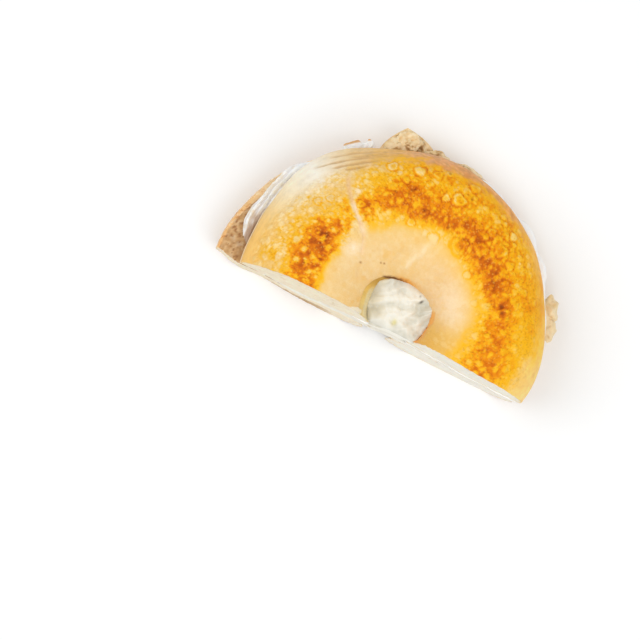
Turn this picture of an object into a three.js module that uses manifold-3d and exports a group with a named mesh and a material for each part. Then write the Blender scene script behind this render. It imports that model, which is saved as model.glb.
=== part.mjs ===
// One half of a filled bagel, cut down through its hole and lying flat on its base.
// Three pieces are stacked: the bottom bread, a layer of cream cheese that also fills the hole,
// and the top bread. Millimetres; +X runs along the cut, +Y points away from it, +Z is up.
import * as THREE from "three";
import { mergeVertices } from "three/addons/utils/BufferGeometryUtils.js";
import Module from "manifold-3d";

const wasm = await Module();
wasm.setup();

// ---- Driving dimensions, mm. Angles are in degrees, from +X towards +Y about the top bread's centre.
const TOP_RADIUS = 55;
const TOP_HEIGHT = 22;
const BOTTOM_RADIUS = 59;
const BOTTOM_HEIGHT = 15;
const BOTTOM_SHIFT = -4;
const CREAM_HEIGHT = 5;
const CREAM_RADIUS = 55;
const HOLE = { x: 3, y: -0.8, alongCut: 10, acrossCut: 9.8, funnel: 3.2 };
const GAP = 0.35;

// The cut leans: its foot stands further out than its top edge. It dips inwards beside the hole,
// in a shallow hollow low on its left, and at its far left end.
const CUT = { foot: -11.3, lean: 0.085, dip: 3.2, dipWidth: 24, endDip: 2, end: -64, endWidth: 5 };
const CUT_HOLLOW = { at: -47, width: 11, depth: 1.05, top: 40 };
const CUT_TOP = BOTTOM_HEIGHT + CREAM_HEIGHT + TOP_HEIGHT + 2;

// Swellings and dents of each outline: where they sit, how wide they are and how far they stand out.
const TOP_SWELLS = [
  { at: -4, width: 14, out: 1.9 },
  { at: 30, width: 14, out: -0.8 },
  { at: 94, width: 12, out: 1.0 },
];
const TOP_SKIRT = { at: 141, width: 15, out: 4.2 };
const BOTTOM_SWELLS = [
  { at: 62, width: 9, out: -1.8 },
  { at: 90, width: 8, out: -0.8 },
  { at: 118, width: 17, out: -3.6 },
  { at: 139, width: 8, out: -1.1 },
  { at: 189, width: 14, out: 2.9 },
];
const CREAM_SWELLS = [
  { at: 172, width: 12, out: 5.6 },
  { at: 151, width: 7, out: 5.0 },
  { at: 190, width: 5.5, out: -8.0 },
  { at: 76, width: 5, out: 1.4 },
  { at: 60, width: 4, out: 1.1 },
  { at: 53, width: 3.5, out: 2.0 },
  { at: 41.5, width: 3.5, out: 1.8 },
  { at: 12, width: 6, out: 0.8 },
];

// The bottom bread's upper edge is torn out into a tongue, with smaller tears of crumb beside it.
const TONGUE = { at: 107.5, left: 9.2, right: 11.5, out: 8.2, root: 5 };
const TEARS = [
  { at: 110, radius: 59.4, z: 15.2, along: 4.4, out: 3.4, up: 2.0, seed: 1 },
  { at: 99, radius: 55.5, z: 15.0, along: 4.8, out: 2.8, up: 2.2, seed: 2 },
  { at: 114, radius: 56.8, z: 15.2, along: 4.2, out: 3.2, up: 1.8, seed: 3 },
  { at: 87.0, radius: 55.4, z: 14.4, along: 5.4, out: 2.2, up: 2.2, seed: 4 },
  { at: 25.8, radius: 56.4, z: 15.2, along: 4.8, out: 3.0, up: 2.4, seed: 5 },
  { at: 19.5, radius: 56.2, z: 14.8, along: 4.8, out: 3.0, up: 2.6, seed: 6 },
  { at: 129, radius: 58.7, z: 14.2, along: 3.6, out: 2.0, up: 0.8, seed: 7 },
  { at: 123.5, radius: 58.3, z: 14.3, along: 1.9, out: 1.9, up: 0.8, seed: 8 },
];

// The top bread's section is a dome, tucked in a little under its widest level.
const DOME = { power: 2.3, tuck: 2.6, sides: 18, underside: 3 };

// The bottom bread is widest a little under its sliced face and rests on a flat base.
// The base and the sliced face end at these parts of the way across.
const BASE = { power: 2.4, widest: 11, inner: 0.12, outer: 0.76, sides: 6 };
const FACE = { inner: 0.015, outer: 0.985, steps: 4 };

// The upper sliced face sinks where no cream holds it up.
const SINK = { x: -56, y: -8, reach: 13, depth: 2.2 };

// The cream's layer, from its middle round its swollen rim: the part of the way out and up.
const CREAM_RIM = [
  { across: 0.4, up: 1 },
  { across: 0.7, up: 1 },
  { across: 0.88, up: 1 },
  { across: 0.95, up: 0.94 },
  { across: 0.985, up: 0.72 },
  { across: 1, up: 0.45 },
  { across: 0.985, up: 0.18 },
  { across: 0.95, up: 0.03 },
  { across: 0.88, up: 0 },
  { across: 0.6, up: 0 },
];

// The cream's lump in the hole is drawn up in ridges, falls away towards the cut and has a waist
// where it turns from one bread's hole into the other's.
const LUMP = {
  foot: 2.4,
  heart: 28,
  climb: 1.8,
  ridge: 0.5,
  crown: 1.2,
  front: { from: -3.8, reach: 3.6, drop: 3.4 },
  shoulder: [1.6, 4],
  below: [17.5, 13, 9, 5],
  waist: 2.8,
  skin: 0.6,
  rings: 5,
};

// The lump's level along the hole's wall, at equal steps of the angle about the hole's middle.
const BRIM_LEVELS = [
  29.1, 31.0, 31.6, 30.7, 29.4, 28.8, 29.1, 29.7, 30.6, 31.0, 29.9, 27.4,
  25.0, 23.6, 23.3, 24.5, 26.6, 28.9, 30.6, 31.4, 31.7, 31.6, 30.4, 28.8,
];

const COLOURS = { crust: 0xe2a24a, cream: 0xf4f1e6, heel: 0xcf9f63 };
const STEPS = { top: 104, bottom: 96, cream: 80, lump: 44 };

// ---- Outlines, as functions of the angle in radians.

// A smooth bump of height 1 round an angle in degrees.
function bump(angle, at, width) {
  const turn = THREE.MathUtils.radToDeg(angle) - at;
  const apart = THREE.MathUtils.euclideanModulo(turn + 180, 360) - 180;
  return Math.exp(-((apart / width) ** 2) / 2);
}

function swell(angle, swells) {
  return swells.reduce((sum, s) => sum + s.out * bump(angle, s.at, s.width), 0);
}

function ray(angle, radius, shift = 0) {
  return new THREE.Vector2(Math.cos(angle) * radius + shift, Math.sin(angle) * radius);
}

// The top bread's outline spreads into a skirt low on its far left side.
function topOutline(angle, rise) {
  const skirt = TOP_SKIRT.out * bump(angle, TOP_SKIRT.at, TOP_SKIRT.width) * (1 - rise) ** 1.5;
  return ray(angle, TOP_RADIUS + swell(angle, TOP_SWELLS) + skirt);
}

// The tongue stands out of the bottom bread's edge only near the sliced face, and is steeper on
// its left.
function bottomOutline(angle, z) {
  const turn = THREE.MathUtils.radToDeg(angle) - TONGUE.at;
  const apart = Math.abs(turn) / (turn > 0 ? TONGUE.left : TONGUE.right);
  const root = THREE.MathUtils.smoothstep(z, TONGUE.root, BOTTOM_HEIGHT);
  const tongue = TONGUE.out * Math.max(1 - apart, 0) ** 0.7 * root;
  return ray(angle, BOTTOM_RADIUS + swell(angle, BOTTOM_SWELLS) + tongue, BOTTOM_SHIFT);
}

function creamOutline(angle) {
  return ray(angle, CREAM_RADIUS + swell(angle, CREAM_SWELLS));
}

function holeOutline(angle, shift = 0) {
  const x = HOLE.x + shift + Math.cos(angle) * HOLE.alongCut;
  return new THREE.Vector2(x, HOLE.y + Math.sin(angle) * HOLE.acrossCut);
}

// The top bread's hole opens like a funnel on its left.
function topHole(angle, rise) {
  const leftwards = Math.max(-Math.cos(angle), 0);
  return holeOutline(angle).add(ray(angle, HOLE.funnel * rise * leftwards));
}

// ---- The two sliced faces, which are not quite level.
function bottomFace(x, y) {
  return BOTTOM_HEIGHT + 0.5 * Math.sin(x / 15 - 1) + 0.4 * Math.cos(y / 13);
}

function topFace(x, y) {
  const wave = 0.5 * Math.sin(x / 14 + 0.6) + 0.4 * Math.cos(y / 16 + 1);
  const away = Math.hypot(x - SINK.x, y - SINK.y) / SINK.reach;
  return BOTTOM_HEIGHT + CREAM_HEIGHT + wave - SINK.depth * Math.exp(-(away ** 2) / 2);
}

// ---- The top bread's section. A rounded side is a quarter of a superellipse.
function rounded(value, power) {
  return Math.sign(value) * Math.abs(value) ** (2 / power);
}

// The dome's height over the sliced face varies a little round the ring.
function domeHeight(angle) {
  return TOP_HEIGHT + 0.7 * Math.cos(2 * angle + 0.4) - 0.6 * bump(angle, 60, 16);
}

// A point of the top bread's skin: across runs from 0 at the hole to 1 outside.
function topPoint(angle, across, lift) {
  const rise = Math.max(lift - DOME.tuck, 0) / (domeHeight(angle) - DOME.tuck);
  const level = Math.min(rise, 1);
  const spot = topHole(angle, level).lerp(topOutline(angle, level), across);
  return new THREE.Vector3(spot.x, spot.y, topFace(spot.x, spot.y) + lift);
}

function topSection(angle) {
  const crest = domeHeight(angle) - DOME.tuck;
  const below = Math.asin((DOME.tuck / crest) ** (DOME.power / 2));
  const points = [];
  for (let i = 0; i <= DOME.sides; i++) {
    const turn = THREE.MathUtils.lerp(Math.PI + below, -below, i / DOME.sides);
    const across = 0.5 + 0.5 * rounded(Math.cos(turn), DOME.power);
    const lift = DOME.tuck + crest * rounded(Math.sin(turn), DOME.power);
    points.push(topPoint(angle, across, Math.max(lift, 0)));
  }
  const [outer, inner] = [points[points.length - 1], points[0]];
  for (let i = 1; i <= DOME.underside; i++) {
    const spot = outer.clone().lerp(inner, i / (DOME.underside + 1));
    points.push(new THREE.Vector3(spot.x, spot.y, topFace(spot.x, spot.y)));
  }
  return points;
}

// ---- The bottom bread's section, from the sliced face's outer edge down and round.
function bottomSection(angle) {
  const hole = holeOutline(angle, BOTTOM_SHIFT);
  const onSide = (across, z) => {
    const spot = hole.clone().lerp(bottomOutline(angle, z), across);
    return new THREE.Vector3(spot.x, spot.y, z);
  };
  const onFace = (across) => {
    const spot = hole.clone().lerp(bottomOutline(angle, BOTTOM_HEIGHT), across);
    return new THREE.Vector3(spot.x, spot.y, bottomFace(spot.x, spot.y));
  };
  const sides = Array.from({ length: BASE.sides + 1 }, (_, i) => (Math.PI / 2) * (i / BASE.sides));
  const out = (turn) => rounded(Math.cos(turn), BASE.power);
  const height = (turn) => BASE.widest * (1 - rounded(Math.sin(turn), BASE.power));
  const points = [onFace(FACE.outer)];
  for (const turn of sides) {
    points.push(onSide(BASE.outer + (1 - BASE.outer) * out(turn), height(turn)));
  }
  points.push(onSide((BASE.inner + BASE.outer) / 2, 0));
  for (const turn of sides.reverse()) {
    points.push(onSide(BASE.inner * (1 - out(turn)), height(turn)));
  }
  for (let i = 0; i < FACE.steps; i++) {
    points.push(onFace(THREE.MathUtils.lerp(FACE.inner, FACE.outer, i / FACE.steps)));
  }
  return points;
}

// ---- The cream cheese, between the two sliced faces and in the hole.
function creamPoint(angle, across, up) {
  const spot = new THREE.Vector2(HOLE.x, HOLE.y).lerp(creamOutline(angle), across);
  const low = bottomFace(spot.x, spot.y) + GAP;
  const high = topFace(spot.x, spot.y) - GAP;
  return new THREE.Vector3(spot.x, spot.y, THREE.MathUtils.lerp(low, high, up));
}

function brimLevel(angle) {
  const count = BRIM_LEVELS.length;
  const step = THREE.MathUtils.euclideanModulo((angle / (2 * Math.PI)) * count, count);
  const from = Math.floor(step);
  const part = THREE.MathUtils.smoothstep(step - from, 0, 1);
  return THREE.MathUtils.lerp(BRIM_LEVELS[from % count], BRIM_LEVELS[(from + 1) % count], part);
}

// The lump's upper face climbs or falls from its heart to its brim, and is rounded over at the cut.
function lumpTop(x, y) {
  const middle = new THREE.Vector2(HOLE.x, HOLE.y);
  const angle = Math.atan2(y - HOLE.y, x - HOLE.x);
  const brim = lumpSide(angle, brimLevel(angle)).distanceTo(middle);
  const reach = Math.min(Math.hypot(x - HOLE.x, y - HOLE.y) / brim, 1);
  const level = THREE.MathUtils.lerp(LUMP.heart, brimLevel(angle), reach ** LUMP.climb);
  const ridges = Math.sin(y * 0.75 + 0.9 * Math.sin(x * 0.22)) * LUMP.ridge;
  const near = THREE.MathUtils.clamp((LUMP.front.from - y) / LUMP.front.reach, 0, 1);
  return level + ridges - LUMP.front.drop * (1 - Math.sqrt(1 - near ** 2));
}

// A spot that lies a distance inside an outline's spot, towards the hole's middle.
function inward(spot, shift, distance) {
  const middle = new THREE.Vector2(HOLE.x + shift, HOLE.y);
  const out = spot.sub(middle);
  return middle.addScaledVector(out, 1 - distance / out.length());
}

// The lump's side, just clear of the hole's wall at the height z.
function lumpSide(angle, z) {
  if (z < BOTTOM_HEIGHT) {
    return inward(holeOutline(angle, BOTTOM_SHIFT), BOTTOM_SHIFT, LUMP.skin);
  }
  if (z < BOTTOM_HEIGHT + CREAM_HEIGHT) {
    return inward(holeOutline(angle, BOTTOM_SHIFT / 2), BOTTOM_SHIFT / 2, LUMP.waist);
  }
  const foot = topHole(angle, 0);
  const lift = z - topFace(foot.x, foot.y) - DOME.tuck;
  const rise = Math.max(lift, 0) / (domeHeight(angle) - DOME.tuck);
  const inset = 0.5 - 0.5 * (1 - rise ** DOME.power) ** (1 / DOME.power);
  const wall = topHole(angle, rise).lerp(topOutline(angle, rise), inset);
  return inward(wall, 0, LUMP.skin);
}

// The lump's rings, from the top's middle outwards and then down its side.
function lumpRings() {
  const rings = [];
  const middle = new THREE.Vector2(HOLE.x, HOLE.y);
  for (let ring = 1; ring <= LUMP.rings; ring++) {
    const part = ring / LUMP.rings;
    rings.push((angle) => {
      const edge = lumpSide(angle, brimLevel(angle) - LUMP.shoulder[0]);
      const spot = middle.clone().lerp(edge, part * 0.95);
      const z = lumpTop(spot.x, spot.y) + LUMP.crown * (1 - part ** 4);
      return new THREE.Vector3(spot.x, spot.y, z);
    });
  }
  const onSide = (angle, z) => {
    const spot = lumpSide(angle, z);
    return new THREE.Vector3(spot.x, spot.y, z);
  };
  for (const drop of LUMP.shoulder) {
    rings.push((angle) => {
      const edge = lumpSide(angle, brimLevel(angle));
      return onSide(angle, lumpTop(edge.x, edge.y) - drop);
    });
  }
  for (const z of [...LUMP.below, LUMP.foot]) {
    rings.push((angle) => onSide(angle, z));
  }
  return rings;
}

// ---- Closed skins.
function skin(points, triangles) {
  const geometry = new THREE.BufferGeometry();
  const flat = points.flatMap((p) => [p.x, p.y, p.z]);
  geometry.setAttribute("position", new THREE.Float32BufferAttribute(flat, 3));
  geometry.setIndex(triangles);
  return geometry;
}

// Sections swept once round the hole, closed both ways.
function sweep(section, steps) {
  const sections = [];
  for (let i = 0; i < steps; i++) {
    sections.push(section((2 * Math.PI * i) / steps));
  }
  const size = sections[0].length;
  const triangles = [];
  for (let i = 0; i < steps; i++) {
    const here = i * size;
    const next = ((i + 1) % steps) * size;
    for (let j = 0; j < size; j++) {
      const up = (j + 1) % size;
      triangles.push(here + j, here + up, next + j);
      triangles.push(next + j, here + up, next + up);
    }
  }
  return skin(sections.flat(), triangles);
}

// Rings stacked between a first and a last point, like a globe's parallels.
function globe(rings, first, last, steps) {
  const points = [];
  for (const ring of rings) {
    for (let i = 0; i < steps; i++) {
      points.push(ring((2 * Math.PI * i) / steps));
    }
  }
  const top = points.push(first) - 1;
  const foot = points.push(last) - 1;
  const end = (rings.length - 1) * steps;
  const triangles = [];
  for (let i = 0; i < steps; i++) {
    const next = (i + 1) % steps;
    triangles.push(top, i, next);
    triangles.push(foot, end + next, end + i);
    for (let ring = 0; ring < rings.length - 1; ring++) {
      const here = ring * steps;
      const below = here + steps;
      triangles.push(here + i, below + i, here + next);
      triangles.push(here + next, below + i, below + next);
    }
  }
  return skin(points, triangles);
}

// ---- Solids.
function solid(geometry) {
  const merged = mergeVertices(geometry, 1e-4);
  const mesh = new wasm.Mesh({
    numProp: 3,
    vertProperties: merged.getAttribute("position").array,
    triVerts: new Uint32Array(merged.index.array),
  });
  return new wasm.Manifold(mesh);
}

function bare(geometry) {
  geometry.deleteAttribute("normal");
  geometry.deleteAttribute("uv");
  return geometry;
}

// How far in front of the bagel's middle the cut runs.
function cutLine(x, z) {
  const dip = CUT.dip * (Math.max(z, 0) / CUT_TOP) * Math.exp(-((x / CUT.dipWidth) ** 2));
  const end = CUT.endDip * Math.exp(-(((x - CUT.end) / CUT.endWidth) ** 2));
  const low = THREE.MathUtils.clamp(1 - z / CUT_HOLLOW.top, 0, 1);
  const hollow = CUT_HOLLOW.depth * Math.exp(-(((x - CUT_HOLLOW.at) / CUT_HOLLOW.width) ** 2)) * low;
  return CUT.foot + CUT.lean * z + dip + hollow + end;
}

// The block in front of the cut, whose far side is the cut itself.
function cutBlock() {
  const [wide, front, low, high, columns, levels] = [80, -80, -10, 60, 30, 10];
  const block = bare(new THREE.BoxGeometry(2 * wide, 2, high - low, columns, 1, levels));
  block.translate(0, 0, (low + high) / 2);
  const position = block.getAttribute("position");
  for (let k = 0; k < position.count; k++) {
    const line = cutLine(position.getX(k), position.getZ(k));
    position.setY(k, position.getY(k) > 0 ? line : front);
  }
  return solid(block);
}

// A lump of torn crumb: a ball pushed in and out by crossing waves.
function tear({ at, radius, z, along, out, up, seed }, grown = 0) {
  const ball = bare(new THREE.IcosahedronGeometry(1, 2));
  const position = ball.getAttribute("position");
  const half = new THREE.Vector3(out + grown, along + grown, up + grown);
  const point = new THREE.Vector3();
  for (let k = 0; k < position.count; k++) {
    point.fromBufferAttribute(position, k);
    const wave = Math.sin(point.x * 5 + seed * 2) * Math.sin(point.y * 6 + seed);
    const ripple = Math.sin(point.z * 9 + point.x * 4 + seed);
    point.multiplyScalar(1 + 0.16 * wave + 0.1 * ripple).multiply(half);
    position.setXYZ(k, point.x, point.y, point.z);
  }
  const turn = THREE.MathUtils.degToRad(at);
  const spot = ray(turn, radius);
  ball.rotateZ(turn);
  ball.translate(spot.x, spot.y, z);
  return solid(ball);
}

// ---- Pieces.
function bottomBread(cut) {
  const ring = solid(sweep(bottomSection, STEPS.bottom));
  return TEARS.reduce((bread, torn) => bread.add(tear(torn)), ring).subtract(cut);
}

function creamCheese(cut) {
  const rings = CREAM_RIM.map(({ across, up }) => (angle) => creamPoint(angle, across, up));
  const layer = solid(globe(rings, creamPoint(0, 0, 1), creamPoint(0, 0, 0), STEPS.cream));
  const crown = new THREE.Vector3(HOLE.x, HOLE.y, lumpTop(HOLE.x, HOLE.y) + LUMP.crown);
  const foot = new THREE.Vector3(HOLE.x + BOTTOM_SHIFT, HOLE.y, LUMP.foot);
  const lump = solid(globe(lumpRings(), crown, foot, STEPS.lump));
  const clear = (cream, torn) => cream.subtract(tear(torn, 2 * GAP));
  return TEARS.reduce(clear, layer.add(lump)).subtract(cut);
}

function topBread(cut) {
  return solid(sweep(topSection, STEPS.top)).subtract(cut);
}

function meshOf(name, piece, color, roughness) {
  const { vertProperties, triVerts } = piece.getMesh();
  const geometry = new THREE.BufferGeometry();
  geometry.setAttribute("position", new THREE.BufferAttribute(vertProperties, 3));
  geometry.setIndex(new THREE.BufferAttribute(triVerts, 1));
  geometry.computeVertexNormals();
  const material = new THREE.MeshStandardMaterial({ color, roughness, metalness: 0 });
  const mesh = new THREE.Mesh(geometry, material);
  mesh.name = name;
  return mesh;
}

function halfBagel() {
  const cut = cutBlock();
  const group = new THREE.Group();
  group.add(meshOf("bread_bottom", bottomBread(cut), COLOURS.heel, 0.85));
  group.add(meshOf("cream_cheese", creamCheese(cut), COLOURS.cream, 0.5));
  group.add(meshOf("bread_top", topBread(cut), COLOURS.crust, 0.5));
  // The origin is the middle of the footprint's box, on the surface that the bagel lies on.
  const box = new THREE.Box3().setFromObject(group);
  const middle = box.getCenter(new THREE.Vector3());
  group.position.set(-middle.x, -middle.y, -box.min.z);
  return group;
}

export default halfBagel();
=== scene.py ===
"""Half a filled bagel, lying on its base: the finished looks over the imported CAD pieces.

Forms are worked out in millimetres about the top bread's centre, with angles in degrees from +X
towards +Y, and are moved into the CAD frame (metres) when a piece is complete.
"""

import math
from functools import partial
from itertools import product

import bpy
import numpy as np
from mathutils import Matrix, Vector
from mathutils.bvhtree import BVHTree
from mathutils.kdtree import KDTree


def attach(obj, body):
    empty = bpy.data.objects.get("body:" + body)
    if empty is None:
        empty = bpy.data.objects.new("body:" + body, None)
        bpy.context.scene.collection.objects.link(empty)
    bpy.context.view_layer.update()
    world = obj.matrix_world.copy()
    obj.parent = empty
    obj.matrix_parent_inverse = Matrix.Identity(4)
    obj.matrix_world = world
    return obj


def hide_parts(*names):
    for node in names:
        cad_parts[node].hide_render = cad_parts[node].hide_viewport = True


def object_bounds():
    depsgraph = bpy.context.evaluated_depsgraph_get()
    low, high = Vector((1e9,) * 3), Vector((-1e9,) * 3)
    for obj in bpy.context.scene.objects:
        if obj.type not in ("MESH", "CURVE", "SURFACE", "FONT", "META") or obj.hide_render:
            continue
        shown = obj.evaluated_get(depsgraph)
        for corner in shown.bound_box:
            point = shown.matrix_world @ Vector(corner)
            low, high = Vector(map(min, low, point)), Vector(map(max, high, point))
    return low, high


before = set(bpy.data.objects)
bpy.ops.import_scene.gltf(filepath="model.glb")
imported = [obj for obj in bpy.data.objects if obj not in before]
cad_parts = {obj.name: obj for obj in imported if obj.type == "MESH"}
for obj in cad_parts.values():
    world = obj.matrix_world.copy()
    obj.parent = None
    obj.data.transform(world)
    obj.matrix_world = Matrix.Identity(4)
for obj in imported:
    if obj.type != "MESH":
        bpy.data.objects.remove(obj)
cad_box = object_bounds()

SHIFT = np.array([4.44827, -24.42683, 0.0])

# ---------------------------------------------------------------- the CAD's own forms, in numpy
TOP_RADIUS, TOP_HEIGHT = 55.0, 22.0
BOTTOM_RADIUS, BOTTOM_HEIGHT, BOTTOM_SHIFT = 59.0, 15.0, -4.0
CREAM_HEIGHT, CREAM_RADIUS = 5.0, 55.0
HOLE = dict(x=3.0, y=-0.8, along=10.0, across=9.8, funnel=3.2)
HOLE_MIDDLE = np.array([HOLE["x"], HOLE["y"]])
CUT_TOP = BOTTOM_HEIGHT + CREAM_HEIGHT + TOP_HEIGHT + 2
DOME_POWER, DOME_TUCK = 2.3, 2.6
BASE_POWER, BASE_WIDEST = 2.4, 11.0
SKIN = 0.3  # how far the relief starts inside the CAD's surface
GAP = 0.35  # between the cream and each bread
TONGUE_AT = 107.5  # angle of the torn tongue of crumb at the back

TOP_SWELLS = [(-4, 14, 1.9), (30, 14, -0.8), (94, 12, 1.0)]
BOTTOM_SWELLS = [(62, 9, -1.8), (90, 8, -0.8), (118, 17, -3.6), (139, 8, -1.1), (189, 14, 2.9)]
CREAM_SWELLS = [(172, 12, 5.6), (151, 7, 5.0), (190, 5.5, -8.0), (76, 5, 1.4), (60, 4, 1.1), (53, 3.5, 2.0),
    (41.5, 3.5, 1.8), (12, 6, 0.8)]
# Torn lumps of crumb: angle, radius, height, half sizes along, out and up, and a seed.
TEARS = [(110, 59.4, 15.2, 4.4, 3.4, 2.0, 1), (99, 55.5, 15.0, 4.8, 2.8, 2.2, 2),
    (114, 56.8, 15.2, 4.2, 3.2, 1.8, 3), (87, 55.4, 14.4, 5.4, 2.2, 2.2, 4),
    (25.8, 56.4, 15.2, 4.8, 3.0, 2.4, 5), (19.5, 56.2, 14.8, 4.8, 3.0, 2.6, 6),
    (129, 58.7, 14.2, 3.6, 2.0, 0.8, 7), (123.5, 58.3, 14.3, 1.9, 1.9, 0.8, 8)]


def bell(value):
    return np.exp(-(value**2))


def bump(turn, at, width):
    apart = (np.degrees(turn) - at + 180) % 360 - 180
    return np.exp(-((apart / width) ** 2) / 2)


def along(value, stops):
    """A number along a value, from (value, number) stops."""
    return np.interp(value, *np.array(stops, float).T)


def swell(turn, swells):
    return sum(out * bump(turn, at, width) for at, width, out in swells)


def smooth(low, high, value):
    part = np.clip((value - low) / (high - low), 0, 1)
    return part * part * (3 - 2 * part)


def between(value, start, full, last, end):
    """Rises from start to full, and falls from last to end."""
    return smooth(start, full, value) * smooth(end, last, value)


def bearing(x, y):
    """Angle, from -90 to 270, and distance."""
    turn = np.degrees(np.arctan2(y, x))
    return np.where(turn < -90, turn + 360, turn), np.hypot(x, y)


def raised(spot, z):
    """Spots of the plan with their heights."""
    return np.concatenate([spot, z[..., None]], -1)


def ray(turn, radius, shift=0.0):
    return np.stack([np.cos(turn) * radius + shift, np.sin(turn) * radius], -1)


def top_outline(turn, rise):
    skirt = 4.2 * bump(turn, 141, 15) * (1 - rise) ** 1.5
    return ray(turn, TOP_RADIUS + swell(turn, TOP_SWELLS) + skirt)


def bottom_outline(turn, z):
    apart = np.degrees(turn) - TONGUE_AT
    apart = np.where(apart > 0, apart / 9.2, -apart / 11.5)
    tongue = 8.2 * np.maximum(1 - apart, 0) ** 0.7 * smooth(5, BOTTOM_HEIGHT, z)
    return ray(turn, BOTTOM_RADIUS + swell(turn, BOTTOM_SWELLS) + tongue, BOTTOM_SHIFT)


def cream_outline(turn):
    return ray(turn, CREAM_RADIUS + swell(turn, CREAM_SWELLS))


def hole_outline(turn, shift=0.0):
    x = HOLE["x"] + shift + np.cos(turn) * HOLE["along"]
    return np.stack([x, HOLE["y"] + np.sin(turn) * HOLE["across"]], -1)


def top_hole(turn, rise):
    return hole_outline(turn) + ray(turn, HOLE["funnel"] * rise * np.maximum(-np.cos(turn), 0))


def bottom_face(x, y):
    return BOTTOM_HEIGHT + 0.5 * np.sin(x / 15 - 1) + 0.4 * np.cos(y / 13)


def top_face(x, y):
    wave = 0.5 * np.sin(x / 14 + 0.6) + 0.4 * np.cos(y / 16 + 1)
    away = np.hypot(x + 56, y + 8) / 13
    return BOTTOM_HEIGHT + CREAM_HEIGHT + wave - 2.2 * np.exp(-(away**2) / 2)


def rounded(value, power):
    return np.sign(value) * np.abs(value) ** (2 / power)


def dome_height(turn):
    return TOP_HEIGHT + 0.7 * np.cos(2 * turn + 0.4) - 0.6 * bump(turn, 60, 16)


def cut_line(x, z):
    dip = 3.2 * (np.maximum(z, 0) / CUT_TOP) * bell(x / 24)
    left = 1.05 * bell((x + 47) / 11) * np.clip(1 - z / 40, 0, 1)
    # The knife leaned a little more through the top bread, left of the hole.
    leaning = 1.3 * bell((x + 35) / 14) * smooth(21, 38, z)
    return -11.3 + 0.085 * z + dip + left + leaning + 2 * bell((x + 64) / 5)


def hole_spot(x, y):
    """Angle and distance about the hole's middle."""
    return bearing(x - HOLE["x"], y - HOLE["y"])


# How far the cream in the hole reaches from the hole's middle, by angle about it.
BRIM = np.array([(-60, 11.4), (-32, 11.1), (-23, 10.5), (0, 10.2), (12, 11.3), (30, 11.6), (50, 11.0),
    (70, 10.4), (95, 10.7), (120, 11.8), (137, 12.9), (152, 12.0), (172, 10.5), (206, 9.9), (235, 10.2),
    (265, 11.0)])


def brim_radius(degrees):
    near = np.arange(-10, 11, 2.5)
    return np.mean([np.interp(degrees + k, *BRIM.T, period=360) for k in near], axis=0)


def hole_wall(turn, rise):
    """Outline of the top bread's hole at a share of the dome's height."""
    inset = 0.5 - 0.5 * (1 - rise**DOME_POWER) ** (1 / DOME_POWER)
    wall = top_hole(turn, rise)
    return wall + (top_outline(turn, rise) - wall) * np.asarray(inset)[..., None]


def wall_level(degrees, radius):
    """Height at which the top bread's hole is as wide as radius, at an angle about the hole."""
    turn = np.radians(degrees)
    best = np.zeros(len(turn))
    for rise in np.linspace(0.02, 0.75, 60):
        best = np.where(np.hypot(*(hole_wall(turn, rise) - HOLE_MIDDLE).T) < radius, rise, best)
    foot = top_hole(turn, 0)
    return top_face(foot[:, 0], foot[:, 1]) + DOME_TUCK + (dome_height(turn) - DOME_TUCK) * best


AROUND = np.arange(0, 360, 3.0)
ABOUT = wall_level(AROUND, brim_radius(AROUND))
ABOUT = np.mean([np.roll(ABOUT, k) for k in range(-4, 5)], axis=0)


LUMP_HEART = 28.0


def lump_top(x, y):
    """The cream's level in the hole: higher where it climbs the wall, rounded over at the cut."""
    turn, out = hole_spot(x, y)
    climb = np.clip(out / brim_radius(turn), 0, 1.1) ** 1.8
    level = LUMP_HEART + (np.interp(turn, AROUND, ABOUT, period=360) - LUMP_HEART) * climb
    near = np.clip(1 - (y + 7.4) / 3.6, 0, 1)
    return level - 3.4 * (1 - np.sqrt(1 - near**2))


# ---------------------------------------------------------------- noise
# Noise is read along turned axes, so that its lattice lines up with no face.
TURNED = np.array([[0.7071, -0.5417, 0.4545], [0.6124, 0.7651, -0.0406], [-0.3258, 0.3480, 0.8790]])
TURNED = np.linalg.qr(TURNED)[0]


def lattice(ix, iy, iz, seed):
    mixed = ix * 374761393 + iy * 668265263 + iz * 1440662683 + seed * 1274126177
    mixed = ((mixed & 0xFFFFFFFF) ^ ((mixed & 0xFFFFFFFF) >> 13)) * 1274126177 & 0xFFFFFFFF
    mixed = (mixed ^ (mixed >> 16)) * 2246822519 & 0xFFFFFFFF
    return ((mixed >> 8) & 0xFFFF) / 65535.0


def noise(points, size, seed, stretch=(1, 1, 1)):
    """Smooth noise between -1 and 1 whose lumps are about size mm."""
    spot = (points / np.array(stretch, float)) @ TURNED / size
    base = np.floor(spot).astype(np.int64)
    part = spot - base
    part = part**3 * (part * (part * 6 - 15) + 10)
    total = np.zeros(len(points))
    for corner in product((0, 1), repeat=3):
        weight = np.ones(len(points))
        for axis, step in enumerate(corner):
            weight *= part[:, axis] if step else 1 - part[:, axis]
        total += weight * lattice(*(base + corner).T, seed)
    return 2 * total - 1


def fractal(points, size, octaves, seed, stretch=(1, 1, 1)):
    total, amount, whole = 0, 1.0, 0.0
    for octave in range(octaves):
        total = total + amount * noise(points, size / 2**octave, seed + 7 * octave, stretch)
        whole += amount
        amount *= 0.55
    return total / whole


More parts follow.
